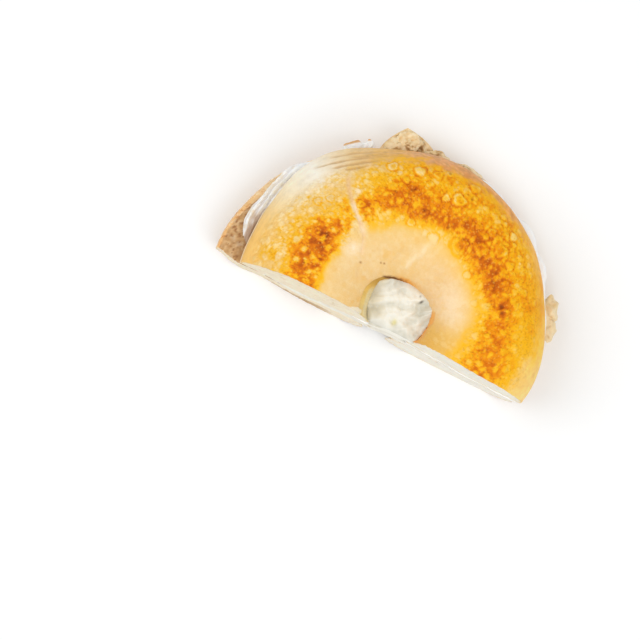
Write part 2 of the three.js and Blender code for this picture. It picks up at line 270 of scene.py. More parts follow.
def cells(points, size, seed):
    """Distance to the nearest cell's heart, in cell sizes, that cell's random number, and how
    much further the next heart lies."""
    spot = points @ TURNED / size
    base = np.floor(spot).astype(np.int64)
    nearest, second, mark = np.full(len(points), 9.0), np.full(len(points), 9.0), np.zeros(len(points))
    for step in product((-1, 0, 1), repeat=3):
        cell = base + step
        heart = np.stack([lattice(*cell.T, seed + k) for k in range(3)], -1) + cell
        away = np.linalg.norm(spot - heart, axis=1)
        closer = away < nearest
        second = np.where(closer, nearest, np.minimum(second, away))
        nearest = np.where(closer, away, nearest)
        mark = np.where(closer, lattice(*cell.T, seed + 5), mark)
    return nearest, mark, second - nearest


def bent(points, size, amount, seed):
    """Points pushed about by noise, so that cells get irregular outlines."""
    return points + amount * np.stack([noise(points, size, seed + k) for k in range(3)], -1)


# ---------------------------------------------------------------- meshes
def two_slots(mesh):
    """Every mesh has a slot for its skin and one for what a cut lays open."""
    for name in ("skin", "inside"):
        mesh.materials.append(bpy.data.materials.get(name) or bpy.data.materials.new(name))


def add_object(name, data):
    obj = bpy.data.objects.new(name, data)
    bpy.context.scene.collection.objects.link(obj)
    return obj


def new_object(name, points, faces):
    mesh = bpy.data.meshes.new(name)
    mesh.from_pydata(points.tolist(), [], faces)
    mesh.update()
    two_slots(mesh)
    return add_object(name, mesh)


def values_of(items, key, size=1, kind=np.float32):
    flat = np.empty(len(items) * size, kind)
    items.foreach_get(key, flat)
    return flat


def points_of(obj):
    return values_of(obj.data.vertices, "co", 3).reshape(-1, 3).astype(float)


def normals_of(obj):
    return values_of(obj.data.vertex_normals, "vector", 3).reshape(-1, 3).astype(float)


def set_points(obj, points):
    obj.data.vertices.foreach_set("co", points.astype(np.float32).ravel())
    obj.data.update()


def turns_of(count):
    return np.arange(count) * 2 * np.pi / count


def sweep_faces(turns, size):
    """Faces of turns sections of size points each, closed both ways."""
    here = np.arange(turns)[:, None] * size
    ahead = ((np.arange(turns) + 1) % turns)[:, None] * size
    this, up = np.arange(size)[None, :], ((np.arange(size) + 1) % size)[None, :]
    return np.stack([here + this, here + up, ahead + up, ahead + this], -1).reshape(-1, 4).tolist()


def globe_faces(rings, turns):
    """Faces of stacked rings of turns points, closed by a first and a last point."""
    here = np.arange(turns)
    ahead = (here + 1) % turns
    top, foot = rings * turns, rings * turns + 1
    faces = [[top, int(a), int(b)] for a, b in zip(here, ahead)]
    last = (rings - 1) * turns
    faces += [[foot, int(last + b), int(last + a)] for a, b in zip(here, ahead)]
    for ring in range(rings - 1):
        low = ring * turns
        quads = np.stack([low + here, low + turns + here, low + turns + ahead, low + ahead], -1)
        faces += quads.tolist()
    return faces


def combine(obj, other, operation):
    """Joins to obj, or cuts from it, another closed piece, which is used up."""
    mod = obj.modifiers.new("combine", "BOOLEAN")
    mod.operation = operation
    mod.solver = "MANIFOLD"
    mod.object = other
    made = bpy.data.meshes.new_from_object(obj.evaluated_get(bpy.context.evaluated_depsgraph_get()))
    obj.modifiers.clear()
    old = obj.data
    obj.data = made
    bpy.data.meshes.remove(old)
    bpy.data.objects.remove(other)


BLOCK_WIDTH, BLOCK_DEPTH, BLOCK_STEP = 68, 90, 0.42


def cut_block(low, high, relief):
    """The block in front of the cut. relief says how far each spot is pushed into the food."""
    xs = np.arange(-BLOCK_WIDTH, BLOCK_WIDTH + BLOCK_STEP, BLOCK_STEP)
    x, z = np.meshgrid(xs, np.arange(low, high + BLOCK_STEP, BLOCK_STEP))
    flat = np.stack([x.ravel(), np.zeros(x.size), z.ravel()], -1)
    flat[:, 1] = cut_line(flat[:, 0], flat[:, 2]) + relief(flat)
    index = np.arange(x.size).reshape(x.shape)
    quads = np.stack([index[:-1, :-1], index[1:, :-1], index[1:, 1:], index[:-1, 1:]], -1)
    faces = quads.reshape(-1, 4).tolist()
    edge = np.concatenate([index[0, :-1], index[:-1, -1], index[-1, :0:-1], index[:0:-1, 0]])
    back = flat[edge].copy()
    back[:, 1] = -BLOCK_DEPTH
    behind = np.arange(len(flat), len(flat) + len(edge))
    faces += np.stack([edge, np.roll(edge, -1), np.roll(behind, -1), behind], -1).tolist()
    faces.append(behind.tolist())
    block = new_object("block", np.concatenate([flat, back]), faces)
    block.data.polygons.foreach_set("material_index", np.ones(len(faces), np.int32))
    return block


def crumb_relief(points, seed):
    """Open pores of a sliced crumb, as a depth in mm."""
    spots = bent(bent(points, 2.4, 0.9, seed + 21), 0.9, 0.35, seed + 25)
    large, mark, _ = cells(spots * np.array([0.75, 1, 1.15]), 2.7, seed)
    small, tiny, _ = cells(spots, 1.0, seed + 11)
    depth = 0.60 * smooth(0.46 * mark + 0.04, 0.02, large) * smooth(0.35, 0.65, mark)
    depth = np.maximum(depth, 0.32 * smooth(0.55 * tiny + 0.05, 0.05, small) * smooth(0.2, 0.5, tiny))
    return depth + 0.16 * fractal(points, 1.1, 3, seed + 3) + 0.10 * noise(points, 6, seed + 5)


# ---------------------------------------------------------------- colours, as sRGB bytes
def linear(colour):
    part = np.clip(np.asarray(colour, float) / 255, 0, 1)
    return np.where(part <= 0.04045, part / 12.92, ((part + 0.055) / 1.055) ** 2.4)


def mix(first, second, amount):
    first, second = np.asarray(first, float), np.asarray(second, float)
    return first + (second - first) * np.asarray(amount)[..., None]


def layered(base, *coats):
    """Coats over a colour, each a colour and how much of it there is."""
    for colour, amount in coats:
        base = mix(base, colour, amount)
    return base


def ramp(value, stops):
    """Colours along a value, from stops of a value and a colour."""
    at, *bytes_at = np.array(stops, float).T
    return np.stack([np.interp(value, at, part) for part in bytes_at], -1)


# ---------------------------------------------------------------- the top bread
TURNS, DOME_ROWS, UNDER_ROWS = 720, 165, 12


def crown_points():
    turn = turns_of(TURNS)[:, None]
    crest = dome_height(turn) - DOME_TUCK
    below = np.arcsin((DOME_TUCK / crest) ** (DOME_POWER / 2))
    part = np.linspace(0, 1, DOME_ROWS)[None, :]
    around = (np.pi + below) + (-below - (np.pi + below)) * part
    across = 0.5 + 0.5 * rounded(np.cos(around), DOME_POWER)
    lift = np.maximum(DOME_TUCK + crest * rounded(np.sin(around), DOME_POWER), 0)
    rise = np.clip((lift - DOME_TUCK) / crest, 0, 1)
    inner, outer = top_hole(turn, rise), top_outline(turn, rise)
    spot = inner + (outer - inner) * across[..., None]
    skin = raised(spot, top_face(spot[..., 0], spot[..., 1]) + lift)
    share = (np.arange(1, UNDER_ROWS + 1) / (UNDER_ROWS + 1))[None, :, None]
    under = skin[:, -1:, :] + (skin[:, :1, :] - skin[:, -1:, :]) * share
    under[..., 2] = top_face(under[..., 0], under[..., 1])
    return np.concatenate([skin, under], 1).reshape(-1, 3)


# The browned band: at each angle its radius, half width and strength.
BAND = np.array([(200, 32, 5.0, 0.45), (188, 32.5, 5.2, 0.74), (178, 32.5, 5.4, 0.98),
    (166, 32.5, 5.2, 1.02), (158, 33.5, 4.8, 1.06), (153, 33.5, 4.2, 0.76), (147, 34, 3.8, 0.54),
    (141, 35, 3.8, 0.52), (137, 35, 3.4, 0.15), (134, 35.5, 3.8, 0.45), (128, 36, 4.2, 0.84),
    (122, 36.5, 4.6, 0.66), (116, 38, 5.6, 0.76), (108, 38, 6.0, 0.84), (98, 37, 6.0, 0.84),
    (88, 36.5, 5.6, 0.80), (80, 37, 5.6, 0.82), (70, 37.3, 5.8, 0.86), (58, 36.8, 6.0, 0.88),
    (46, 36.3, 6.0, 0.92), (38, 36.3, 5.8, 0.90), (30, 37, 5.8, 0.80), (22, 37.2, 5.8, 0.74),
    (12, 36.5, 6.4, 0.70), (0, 36.5, 7.0, 0.74), (-12, 36.5, 7.0, 0.70)])[::-1]
# Spots that are browned further: angle, radius, size and strength.
SCORCHES = [(177, 30.5, 2.4, 0.22), (159, 34, 1.8, 0.42), (162, 31.5, 2.2, 0.20), (128, 36, 2.2, 0.25),
    (118.5, 39.5, 1.3, 0.5), (106.5, 41.8, 1.1, 0.75), (97.5, 35.3, 0.9, 0.55), (92, 35, 1.1, 0.4),
    (82, 34, 1.0, 0.5), (71.5, 37.4, 2.8, 0.20), (59, 36, 2.6, 0.10), (53.5, 36.8, 2.2, 0.18),
    (41.5, 35.8, 1.9, 0.50), (27, 37.4, 0.9, 0.8), (23.8, 37.5, 0.8, 0.75), (113, 36, 2.4, 0.2),
    (101, 32.5, 2.2, 0.25), (70, 32.2, 1.8, 0.22)]
# Patches left pale within the band or beside it.
PALE_SPOTS = [(150, 24.5, 2.4, 1.0), (132.5, 41.5, 1.5, 0.8), (137, 37, 1.3, 0.9), (136.5, 33, 1.3, 0.8),
    (137.5, 28.5, 1.5, 0.6), (30, 20.5, 6.0, 0.6), (15, 22, 4, 0.4)]
# Blisters seen in the crust: angle, radius, size and whether the middle is dark.
BLISTERS = [(104.7, 48.3, 2.0, 0), (97.1, 48.7, 1.8, 1), (81.4, 50.6, 2.0, 0), (86.7, 48.1, 1.2, 0),
    (90.3, 42.2, 1.4, 0), (88.5, 51.6, 1.0, 0), (84.5, 43.8, 2.4, 1), (74.7, 44.7, 1.0, 0),
    (71.8, 42.9, 1.1, 0), (69.8, 41.0, 1.4, 0), (65.6, 50.1, 1.3, 0), (77.2, 52.1, 0.9, 0),
    (74.5, 52.4, 0.9, 0), (56.8, 48.8, 1.7, 0), (58.8, 47.3, 0.8, 0), (69.2, 31.1, 2.8, 1),
    (54.2, 42.4, 2.5, 1), (59.8, 36.5, 2.4, 1), (66.9, 36.9, 0.9, 0), (55.1, 36.8, 1.1, 0),
    (55.3, 45.2, 0.9, 0), (50.3, 28.0, 1.3, 0), (46.7, 30.7, 1.1, 0), (46.1, 43.2, 1.7, 0),
    (63.6, 43.1, 1.6, 1), (116, 49.0, 1.8, 1), (92.7, 50.6, 1.2, 0), (22.4, 38.0, 2.6, 1),
    (99.5, 44.7, 1.3, 0), (54.4, 51.2, 0.8, 0), (30, 28, 1.2, 0), (8, 30, 1.4, 0), (5, 41, 1.5, 0),
    (-2, 44, 1.3, 0), (110, 44.5, 1.3, 0), (48, 47.5, 1.2, 0), (40, 49.5, 1.0, 0), (33, 46, 1.3, 0)]

# Where the golden crust starts outside the pale ring round the hole, by angle.
GOLDEN_FROM = [(-14, 24.0), (-5, 24.5), (9, 25.6), (33, 26.8), (49, 26.6), (68, 26.2), (79, 28.8),
    (86, 29.6), (103, 27.6), (123, 27.0), (132, 28.0)]


# How close together the small blisters sit, and how large they are, by angle.
CROWD = [(-14, 0.35), (0, 0.35), (40, 0.6), (60, 1), (125, 1), (150, 0.8), (194, 0.7)]
SPARSE = [(125, 1), (140, 0.35), (194, 0.35)]
SMALLER = [(15, 0.75), (45, 1)]
CREASE_AT = 137
# How far the crust outside the band is browned, how pale its blisters are and how much of it is
# smooth shoulder, by angle.
OUTSIDE = [(-12, 0.38), (20, 0.42), (60, 0.46), (100, 0.38), (125, 0.22), (140, 0.08), (150, 0.12),
    (165, 0.15), (195, 0.15)]
PALENESS = [(-14, 0.9), (20, 0.8), (60, 0.8), (125, 0.9), (150, 0.7), (195, 0.7)]
SHOULDER = [(-12, 0.6), (10, 0.6), (28, 0.4), (40, 0.5), (58, 0.85), (108, 0.85), (122, 0.5), (140, 0)]


def at_angle(degrees, radius):
    turn = math.radians(degrees)
    return math.cos(turn) * radius, math.sin(turn) * radius


def mark_at(x, y, angle, radius, spread):
    """A soft round mark about a spot of the plan."""
    sx, sy = at_angle(angle, radius)
    return np.exp(-((x - sx) ** 2 + (y - sy) ** 2) / spread)


def blister_list():
    """The seen blisters and many small ones, closest together where the crust is browned."""
    rng = np.random.default_rng(11)
    made = [(*at_angle(a, r), size, ring) for a, r, size, ring in BLISTERS]
    tries = 2400
    angles, radii = rng.uniform(-14, 194, tries), rng.uniform(27, 53, tries)
    for a, r, chance, size, ring in zip(angles, radii, *(rng.uniform(0, 1, tries) for k in range(3))):
        crowd = math.exp(-(((r - 42) / 6.5) ** 2)) * along(a, CROWD)
        crowd = max(crowd, 0.75 * math.exp(-(((r - 34) / 4.5) ** 2)))
        if abs(a - CREASE_AT) < 2.6 or chance > 0.5 * crowd * along(a, SPARSE):
            continue
        radius = (0.45 + 1.0 * size**2.0 + (0.5 if size > 0.95 else 0)) * along(a, SMALLER)
        x, y = at_angle(a, r)
        if all(math.hypot(x - b[0], y - b[1]) > 0.8 * (radius + b[2]) for b in made):
            made.append((x, y, radius, 1 if ring > 0.72 and radius > 0.8 else 0))
    return made


def near_line(points, line):
    """Each point's distance from a line over the plan, and how far along it lies."""
    best, course = np.full(len(points), 1e9), np.zeros(len(points))
    line = np.array(line, float)
    for k in range(len(line) - 1):
        start, step = line[k], line[k + 1] - line[k]
        part = np.clip(((points[:, :2] - start) @ step) / (step @ step), 0, 1)
        away = np.linalg.norm(points[:, :2] - start - part[:, None] * step, axis=1)
        course = np.where(away < best, (k + part) / (len(line) - 1), course)
        best = np.minimum(away, best)
    return best, course


def arc(*stops):
    return [at_angle(a, r) for a, r in stops]


# How far the hole's rim lies from the hole's middle, by angle about it.
HOLE_RIM = [(-60, 14.2), (-45, 13.0), (-32, 12.0), (-23, 11.3), (0, 11.0), (12, 11.9), (25, 12.0),
    (53, 11.0), (75, 10.6), (90, 10.7), (105, 11.1), (120, 12.2), (137, 13.5), (152, 14.0), (166, 14.2),
    (178, 13.6), (187, 13.3), (230, 13.2)]
RADIAL_CREASE = arc((134.5, 49), (136, 45), (136.8, 39), (137.2, 30.4), (137.9, 26.8), (144, 22.2), (150, 19))
SOFT_RIDGE = arc((101, 12.5), (95, 17), (88, 22), (85, 28))
EDGE_CREASES = [arc((147, 56.0), (138, 54.6), (128, 53.4), (116, 53.2), (104, 54.0)),
    arc((140, 57.2), (130, 55.8), (121, 55.0), (110, 54.9)),
    arc((141, 53.0), (133, 51.9), (124, 51.4), (114, 52.0)), arc((136, 50.6), (129, 49.9), (121, 50.2)),
    arc((132, 54.6), (123, 53.8), (116, 54.1))]
FINE_CREASES = [arc((70, 14), (58, 17.5), (48, 19)), arc((64, 15), (54, 17), (45, 17.5)),
    arc((60, 18), (52, 20), (44, 21)), arc((14, 16), (6, 19), (0, 20.5)), arc((10, 15), (3, 17), (-4, 18)),
    arc((124, 14), (112, 17), (104, 22)), arc((172, 14), (160, 17), (150, 19)),
    arc((186, 47), (182, 43), (181, 40))]


# The pale crust's colours, by angle: round the hole, on the crest, on the shoulder and on the side. The
# shoulder's duller tan at about 60° to 118° is partly painted shade, on the side turned from the key lamp.
INNER = [(-20, 234, 182, 88), (2, 237, 188, 98), (16, 239, 196, 132), (36, 241, 200, 144),
    (75, 244, 206, 146), (110, 244, 206, 142), (150, 243, 207, 148), (195, 243, 205, 140)]
MIDDLE = [(-12, 250, 192, 84), (30, 250, 194, 84), (60, 250, 198, 98), (95, 248, 202, 112),
    (125, 243, 201, 122), (150, 246, 204, 128), (195, 246, 202, 122)]
OUTER = [(-12, 255, 211, 132), (4, 255, 207, 116), (20, 255, 202, 116), (45, 255, 198, 124),
    (58, 250, 186, 110), (70, 242, 170, 98), (88, 230, 162, 112), (104, 230, 170, 132),
    (118, 232, 186, 130), (130, 240, 204, 144), (139, 250, 230, 196), (146, 255, 246, 228),
    (158, 252, 232, 194), (172, 250, 204, 122), (180, 250, 198, 108), (195, 250, 198, 110)]
SIDE = [(-12, 252, 190, 96), (45, 250, 192, 112), (62, 240, 178, 106), (110, 236, 194, 138),
    (130, 240, 212, 166), (145, 255, 248, 232), (160, 253, 236, 200), (195, 248, 200, 124)]
# The hole's wall, by angle about the hole: its darker ochre at 130° to 150° is partly painted shade deep in
# the hole.
HOLE_WALL = [(130, 190, 146, 66), (150, 204, 158, 72), (168, 236, 194, 98), (188, 238, 208, 128),
    (215, 240, 216, 150)]
# Browning: colour, and the toast at which it starts and is full.
BROWNING = [((240, 144, 6), 0.32, 0.72), ((216, 110, 8), 0.70, 1.06), ((194, 92, 10), 1.06, 1.42),
    ((140, 62, 10), 1.46, 1.95)]
# Angle, radius and size.
PINHOLES = [(151, 18.8, 0.26), (130, 15.7, 0.2), (126, 15.2, 0.22), (93, 50.6, 0.3), (80, 46.6, 0.3),
    (106.8, 41.2, 0.35), (97.5, 35.3, 0.3), (24, 37.5, 0.35), (27.5, 37.3, 0.3), (70.5, 33.8, 0.3),
    (41.5, 35.6, 0.3), (81.6, 33.8, 0.35)]


def blisters(points, normals, relief, light):
    """Raises the single blisters. Gives how browned the ring round each is."""
    x, y, _ = points.T
    uneven = 0.16 * noise(points, 1.3, 24) + 0.10 * noise(points, 0.7, 25)
    ringed = np.zeros(len(points))
    tree = KDTree(len(points))
    for k in np.flatnonzero((normals[:, 2] > 0) & (y > -16)):
        tree.insert(points[k], int(k))
    tree.balance()
    rng = np.random.default_rng(5)
    for bx, by, size, ring in blister_list():
        if by < -13:
            continue
        level = crown_level(math.atan2(by, bx), float(np.hypot(bx, by)))
        found = tree.find_range(Vector((bx, by, level)), size * 1.6)
        if not found:
            continue
        index = np.array([f[1] for f in found])
        away = np.array([f[2] for f in found]) / size
        lobes = np.sin(3 * np.arctan2(y[index] - by, x[index] - bx) + 7 * bx)
        away = away * (1 + 0.10 * lobes) + uneven[index]
        height = (0.15 + 0.17 * size) * rng.uniform(0.6, 1.2)
        dome = np.clip(1 - away**2, 0, 1) ** 0.6
        rim, groove = bell((away - 0.78) / 0.22), bell((away - 1.16) / 0.14)
        # The large ones at the upper left stand out most.
        upper = by > 0.7 * bx
        seen = 1.0 if size >= 1.3 and upper else 0.0
        swollen = height * (dome * (1 - 0.45 * ring) + 0.35 * ring * rim)
        relief[index] += swollen - (0.07 + 0.06 * seen) * groove
        shade = (rng.uniform(0.30, 0.90) + 0.26 * seen) * (1 if upper else 0.75)
        inside = smooth(1.06, 0.74, away)
        body = shade * (inside * (1 - ring * smooth(0.80, 0.35, away)))
        light[index] = np.maximum(light[index] * (1 - 0.8 * seen * inside), body)
        ringed[index] = np.maximum(ringed[index], groove * (0.5 + 0.4 * shade) * (1 + 2.0 * seen))
    return ringed


def creased(points, creases, width, wander, ends):
    """How deep each point lies in the nearest crease, which fades over a share of its length."""
    deep = np.zeros(len(points))
    for crease in creases:
        away, course = near_line(points, crease)
        deep = np.maximum(deep, bell((away + wander) / width) * between(course, 0, ends, 1 - ends, 1))
    return deep


def crown_fields(points, normals):
    """Relief in mm, colour and share of fine grain over the top bread's skin."""
    x, y, z = points.T
    turn, radius = bearing(x, y)
    facing = normals[:, 2]
    rough, clouds = partial(noise, points), partial(fractal, points)
    top = smooth(-0.1, 0.35, facing)
    relief = 0.28 * clouds(15, 2, 3) + 0.05 * rough(3.2, 5)

    wobble = 1.6 * rough(5, 21) + 0.7 * rough(2.2, 22) + 0.6 * rough(1.1, 26)
    centre, width, strength = (np.interp(turn, BAND[:, 0], BAND[:, k]) for k in (1, 2, 3))
    away = (radius + wobble - centre) / width
    away = np.where(away > 0, away * 0.80, away * 1.05) + 0.10 * rough(0.9, 27)
    toast = strength * np.exp(-np.abs(away) ** 2.6 / 1.3) * top
    outside = along(turn, OUTSIDE) * (1 - smooth(108, 140, turn) * smooth(46, 51, radius + wobble))
    outside = outside * (1 - 0.75 * smooth(16, 2, turn) * smooth(45, 50, radius + 0.6 * wobble))
    drift = rough(3.4, 23)
    toast = np.maximum(toast, outside * (1 + 0.35 * drift) * smooth(30, 38, radius))
    start = along(turn, GOLDEN_FROM)
    wash = smooth(-3.0, 3.4, radius + 0.7 * wobble - start) * smooth(139, 132, turn) * smooth(42, 36, radius)
    toast = np.maximum(toast, 0.25 * wash * (1 + 0.25 * drift) * top)
    for a, r, size, amount in SCORCHES:
        toast += amount * mark_at(x, y, a, r, 2 * size**2 / (1 + 0.2 * wobble))
    for a, r, size, amount in PALE_SPOTS:
        toast *= 1 - amount * mark_at(x, y, a, r, 1.4 * size**2)

    # Grain: a crust of many small blisters, pale in the middle with browned lanes between them.
    start = np.where(turn > 139, 25.0, start)
    grainy = smooth(0, 4.0, radius + 0.5 * wobble - start) * (1 - smooth(50, 53, radius))
    near, mark, gap = cells(bent(points, 1.9, 0.6, 30), 2.6, 31)
    fine, fine_mark, fine_gap = cells(bent(points, 1.0, 0.3, 35), 1.35, 41)
    large = smooth(0.60, 0.30, near) * smooth(0.35, 0.75, mark)
    small = smooth(0.58, 0.26, fine) * smooth(0.30, 0.85, fine_mark)
    lane = np.maximum(0.8 * smooth(0.26, 0.05, gap), 0.75 * smooth(0.30, 0.05, fine_gap))
    grainy = grainy * (1 + 0.5 * smooth(128, 145, turn))
    calm = 1 - 0.6 * between(turn, -8, 6, 20, 34) * smooth(38, 42, radius)
    calm *= 1 - 0.5 * smooth(42, 34, turn) * smooth(46, 49, radius)
    for flat, more, pattern in ((0.09, 0.20, lane - 0.3), (0.03, 0.26, rough(1.3, 43)),
                                (0.05, 0.20, rough(2.7, 44))):
        toast += grainy * calm * (flat + more * toast) * pattern
    body = np.maximum(large, 0.8 * small)
    toast *= 1 - 0.45 * grainy * body
    relief += grainy * (0.12 * large + 0.08 * small - 0.06 * lane + 0.04 * rough(1.25, 43))
    light = 0.55 * grainy * calm * body * along(turn, PALENESS)
    ringed = blisters(points, normals, relief, light)
    toast = toast * (1 - 0.62 * light) + 0.04 * light + 0.13 * ringed * smooth(24, 30, radius)

    # Creases.
    away, course = near_line(points, RADIAL_CREASE)
    away = away + 0.35 * rough(3, 51)
    line = bell(away / 0.85) * between(course, 0, 0.08, 0.8, 1.0) * top
    relief -= 0.35 * bell(away / 0.5) * line
    toast *= 1 - 0.85 * line
    ridge, course = near_line(points, SOFT_RIDGE)
    soft = bell(ridge / 1.1) * between(course, 0, 0.2, 0.7, 1.0) * top
    relief += 0.30 * soft
    folds = creased(points, EDGE_CREASES, 0.34, 0.4 * rough(4, 53), 0.15) * smooth(0.0, 0.2, facing)
    hair = creased(points, FINE_CREASES, 0.45, 0.3 * rough(4, 55), 0.3)
    relief -= 0.28 * folds + 0.10 * hair * top

    # The pale crust, before browning.
    outer = ramp(turn, OUTER)
    side = ramp(turn, SIDE) * (1 + 0.05 * clouds(3.5, 3, 65))[:, None]
    low = smooth(0.22, -0.25, facing) * smooth(30, 40, radius)
    pale = layered(ramp(turn, INNER), (ramp(turn, MIDDLE), smooth(20, 30, radius)),
                   (outer, smooth(43, 52, radius)), (side, low), ((255, 236, 200), 0.55 * soft),
                   ((244, 204, 154), 0.85 * line),
                   ((255, 236, 188), 0.80 * light * smooth(24, 30, radius)))
    for a, r, size, amount in PALE_SPOTS:
        pale = mix(pale, (254, 232, 200), 0.9 * amount * mark_at(x, y, a, r, 1.2 * size**2))
    near_hole = smooth(32, 25, radius)
    spokes = noise(np.stack([turn / 5, radius / 9, 0 * turn], -1), 1.0, 66)
    spokes = spokes + 0.6 * noise(np.stack([turn / 2.2, radius / 6, 0 * turn + 9], -1), 1.0, 65)
    mottle = 0.4 * rough(4.5, 61) + 0.5 * rough(1.1, 62) + 0.6 * clouds(2.2, 2, 63)
    mottle = 1 + 0.045 * mottle * (1 - 0.75 * near_hole)
    warm = clouds(1.3, 3, 60) + 0.35 * spokes
    ochre = smooth(0.25, 0.75, clouds(2.6, 2, 67)) * smooth(32, 26, radius) * smooth(60, 120, turn)
    pale = layered(pale, ((194, 146, 92), 0.62 * folds), ((236, 192, 132), 0.4 * hair)) * mottle[:, None]
    pale = layered(pale, ((244, 198, 120), 0.30 * near_hole * smooth(-0.05, 0.6, warm)),
                   ((252, 224, 174), 0.30 * near_hole * smooth(0.05, -0.6, warm)),
                   ((240, 186, 96), 0.40 * ochre))
    relief += 0.05 * spokes * smooth(30, 24, radius) * top

    colour = mix(pale, (252, 186, 22), smooth(0.02, 0.38, toast))
    # Towards the left the lanes between the blisters are a duller brown.
    dull = np.clip(lane, 0, 1) * grainy * smooth(104, 128, turn) * smooth(36, 40, radius) * (1 - 0.8 * light)
    colour = mix(colour, (214, 154, 56), 0.16 * np.clip(dull, 0, 1))
    colour = layered(colour, *((brown, smooth(start, full, toast)) for brown, start, full in BROWNING))
    # The smooth shoulder outside the blisters takes a duller brown: its own, and at about 60° to 118° partly
    # painted shade.
    ragged = 2.0 * rough(3, 68) + 1.3 * rough(1.3, 69) + 0.9 * rough(6, 79)
    shoulder = smooth(49.6, 54.2, radius + ragged) * along(turn, SHOULDER)
    streak = 1 + 0.10 * clouds(2.4, 3, 64) + 0.08 * rough(0.9, 70)
    outer = outer * (mottle * streak * (1 + 0.05 * smooth(30, 12, turn)))[:, None]
    dots, dot_mark, _ = cells(bent(points, 1.2, 0.4, 85), 1.9, 86)
    streak = 0.45 * smooth(0.0, 0.5, clouds(3, 3, 78)) * between(turn, 50, 64, 104, 118)
    dots = 0.6 * smooth(0.34, 0.18, dots) * (dot_mark > 0.55) * between(turn, 40, 60, 100, 112)
    colour = layered(colour, (outer, shoulder * (1 - low) * (1 - 0.6 * light)),
                     ((208, 130, 56), streak * shoulder), ((248, 206, 150), dots * shoulder))

    # Pinholes, the hole's rim with a painted shadow line where the cream meets it, and the wall under it.
    for a, r, size in PINHOLES:
        hit = mark_at(x, y, a, r, 2 * size**2) * top
        relief -= 0.2 * hit
        colour = mix(colour, (134, 76, 30), 0.6 * hit)
    jag = 0.30 * rough(1.7, 71) + 0.2 * rough(0.8, 72)
    hole_turn, hole_away = hole_spot(x, y)
    inside = hole_away - along(hole_turn, HOLE_RIM) + jag * smooth(150, 120, hole_turn)
    inside = np.where((radius < 24) & (facing > -0.7), inside, 9.0)
    wall = smooth(0.30, -0.20, inside)
    tint = ramp(hole_turn, HOLE_WALL)
    # Next to the cream the wall is painted lighter, painted light over the shade of the crevice there.
    tint = mix(tint, (240, 226, 186), 0.8 * smooth(-1.2, -2.2, inside) * smooth(150, 168, hole_turn))
    glow = bump(np.radians(hole_turn), 99, 13) * smooth(2.0, 0.2, inside)
    # A dark brown line along the rim by the cream: painted shadow of the gap, over toasted crust.
    lip_shadow = between(hole_turn, 92, 108, 135, 141) * bell(inside / 0.42)
    edge = between(hole_turn, -40, -32, 26, 36) * smooth(0.7, 0.1, inside + 0.25 * rough(0.9, 76))
    colour = layered(
        colour, (tint * (1 + 0.04 * rough(1.8, 74))[:, None], 0.95 * (smooth(120, 140, hole_turn) * wall)),
        ((242, 160, 62), 0.9 * glow),
        (mix((190, 124, 58), (116, 76, 38), smooth(105, 122, hole_turn)), np.clip(1.2 * lip_shadow, 0, 1)),
        (mix((236, 178, 104), (244, 172, 88), smooth(0.2, -0.5, inside)), np.clip(edge, 0, 1)))
    relief += 0.3 * (lip_shadow + edge) * rough(1.2, 73) - 0.45 * wall * smooth(130, 145, hole_turn)
    # A smear of cream on the crust beside the hole.
    smear = np.exp(-(((x + 10.2 - 0.5 * (y + 5.8)) / 2.8) ** 2) - (((y + 5.9) / 1.3) ** 2)) * top
    smear = smooth(0.35, 0.6, smear + 0.15 * rough(1.6, 75))
    relief += 0.2 * smear
    # The lowest rim at the left: a pale line under a browned one.
    lift = z - top_face(x, y)
    rim = smooth(164, 172, turn) * (radius > 45)
    low_rim = rim * bell((lift - 1.3) / 0.8) * smooth(-0.95, -0.6, facing)
    relief += 0.55 * low_rim
    # The sliced face underneath: toasted crumb.
    under = smooth(-0.75, -0.95, facing)
    relief = relief * (1 - under) + under * (0.28 - 0.2 * np.clip(crumb_relief(points, 301), 0, 1))
    toasted = mix((222, 186, 136), (190, 140, 84), np.clip(0.5 + rough(4, 91), 0, 1))
    colour = layered(colour, ((250, 244, 226), 0.8 * smear), ((254, 232, 200), np.clip(1.2 * low_rim, 0, 1)),
                     ((206, 146, 84), 0.65 * rim * bell((lift - 3.0) / 0.5)), (toasted, under))
    grain = np.clip(0.25 + 0.9 * toast, 0, 1) * np.minimum(grainy, 1) * (1 - under)
    return relief, colour, grain


def crown_level(turn, radius):
    """Height of the dome's skin over a spot of the plan, closing in on it step by step."""
    x, y = math.cos(turn) * radius, math.sin(turn) * radius
    turn = np.array([turn])
    rise = 0.0
    for k in range(14):
        inner, outer = np.hypot(*top_hole(turn, rise)[0]), np.hypot(*top_outline(turn, rise)[0])
        across = min(max((radius - inner) / (outer - inner), 0.0), 1.0)
        rise = (1 - abs(2 * across - 1) ** DOME_POWER) ** (1 / DOME_POWER)
    return float(top_face(x, y)) + DOME_TUCK + (float(dome_height(turn)[0]) - DOME_TUCK) * rise


# ---------------------------------------------------------------- finishing a cut piece
def surface_of(obj):
    mesh = obj.data
    return BVHTree.FromPolygons([v.co[:] for v in mesh.vertices], [p.vertices[:] for p in mesh.polygons])


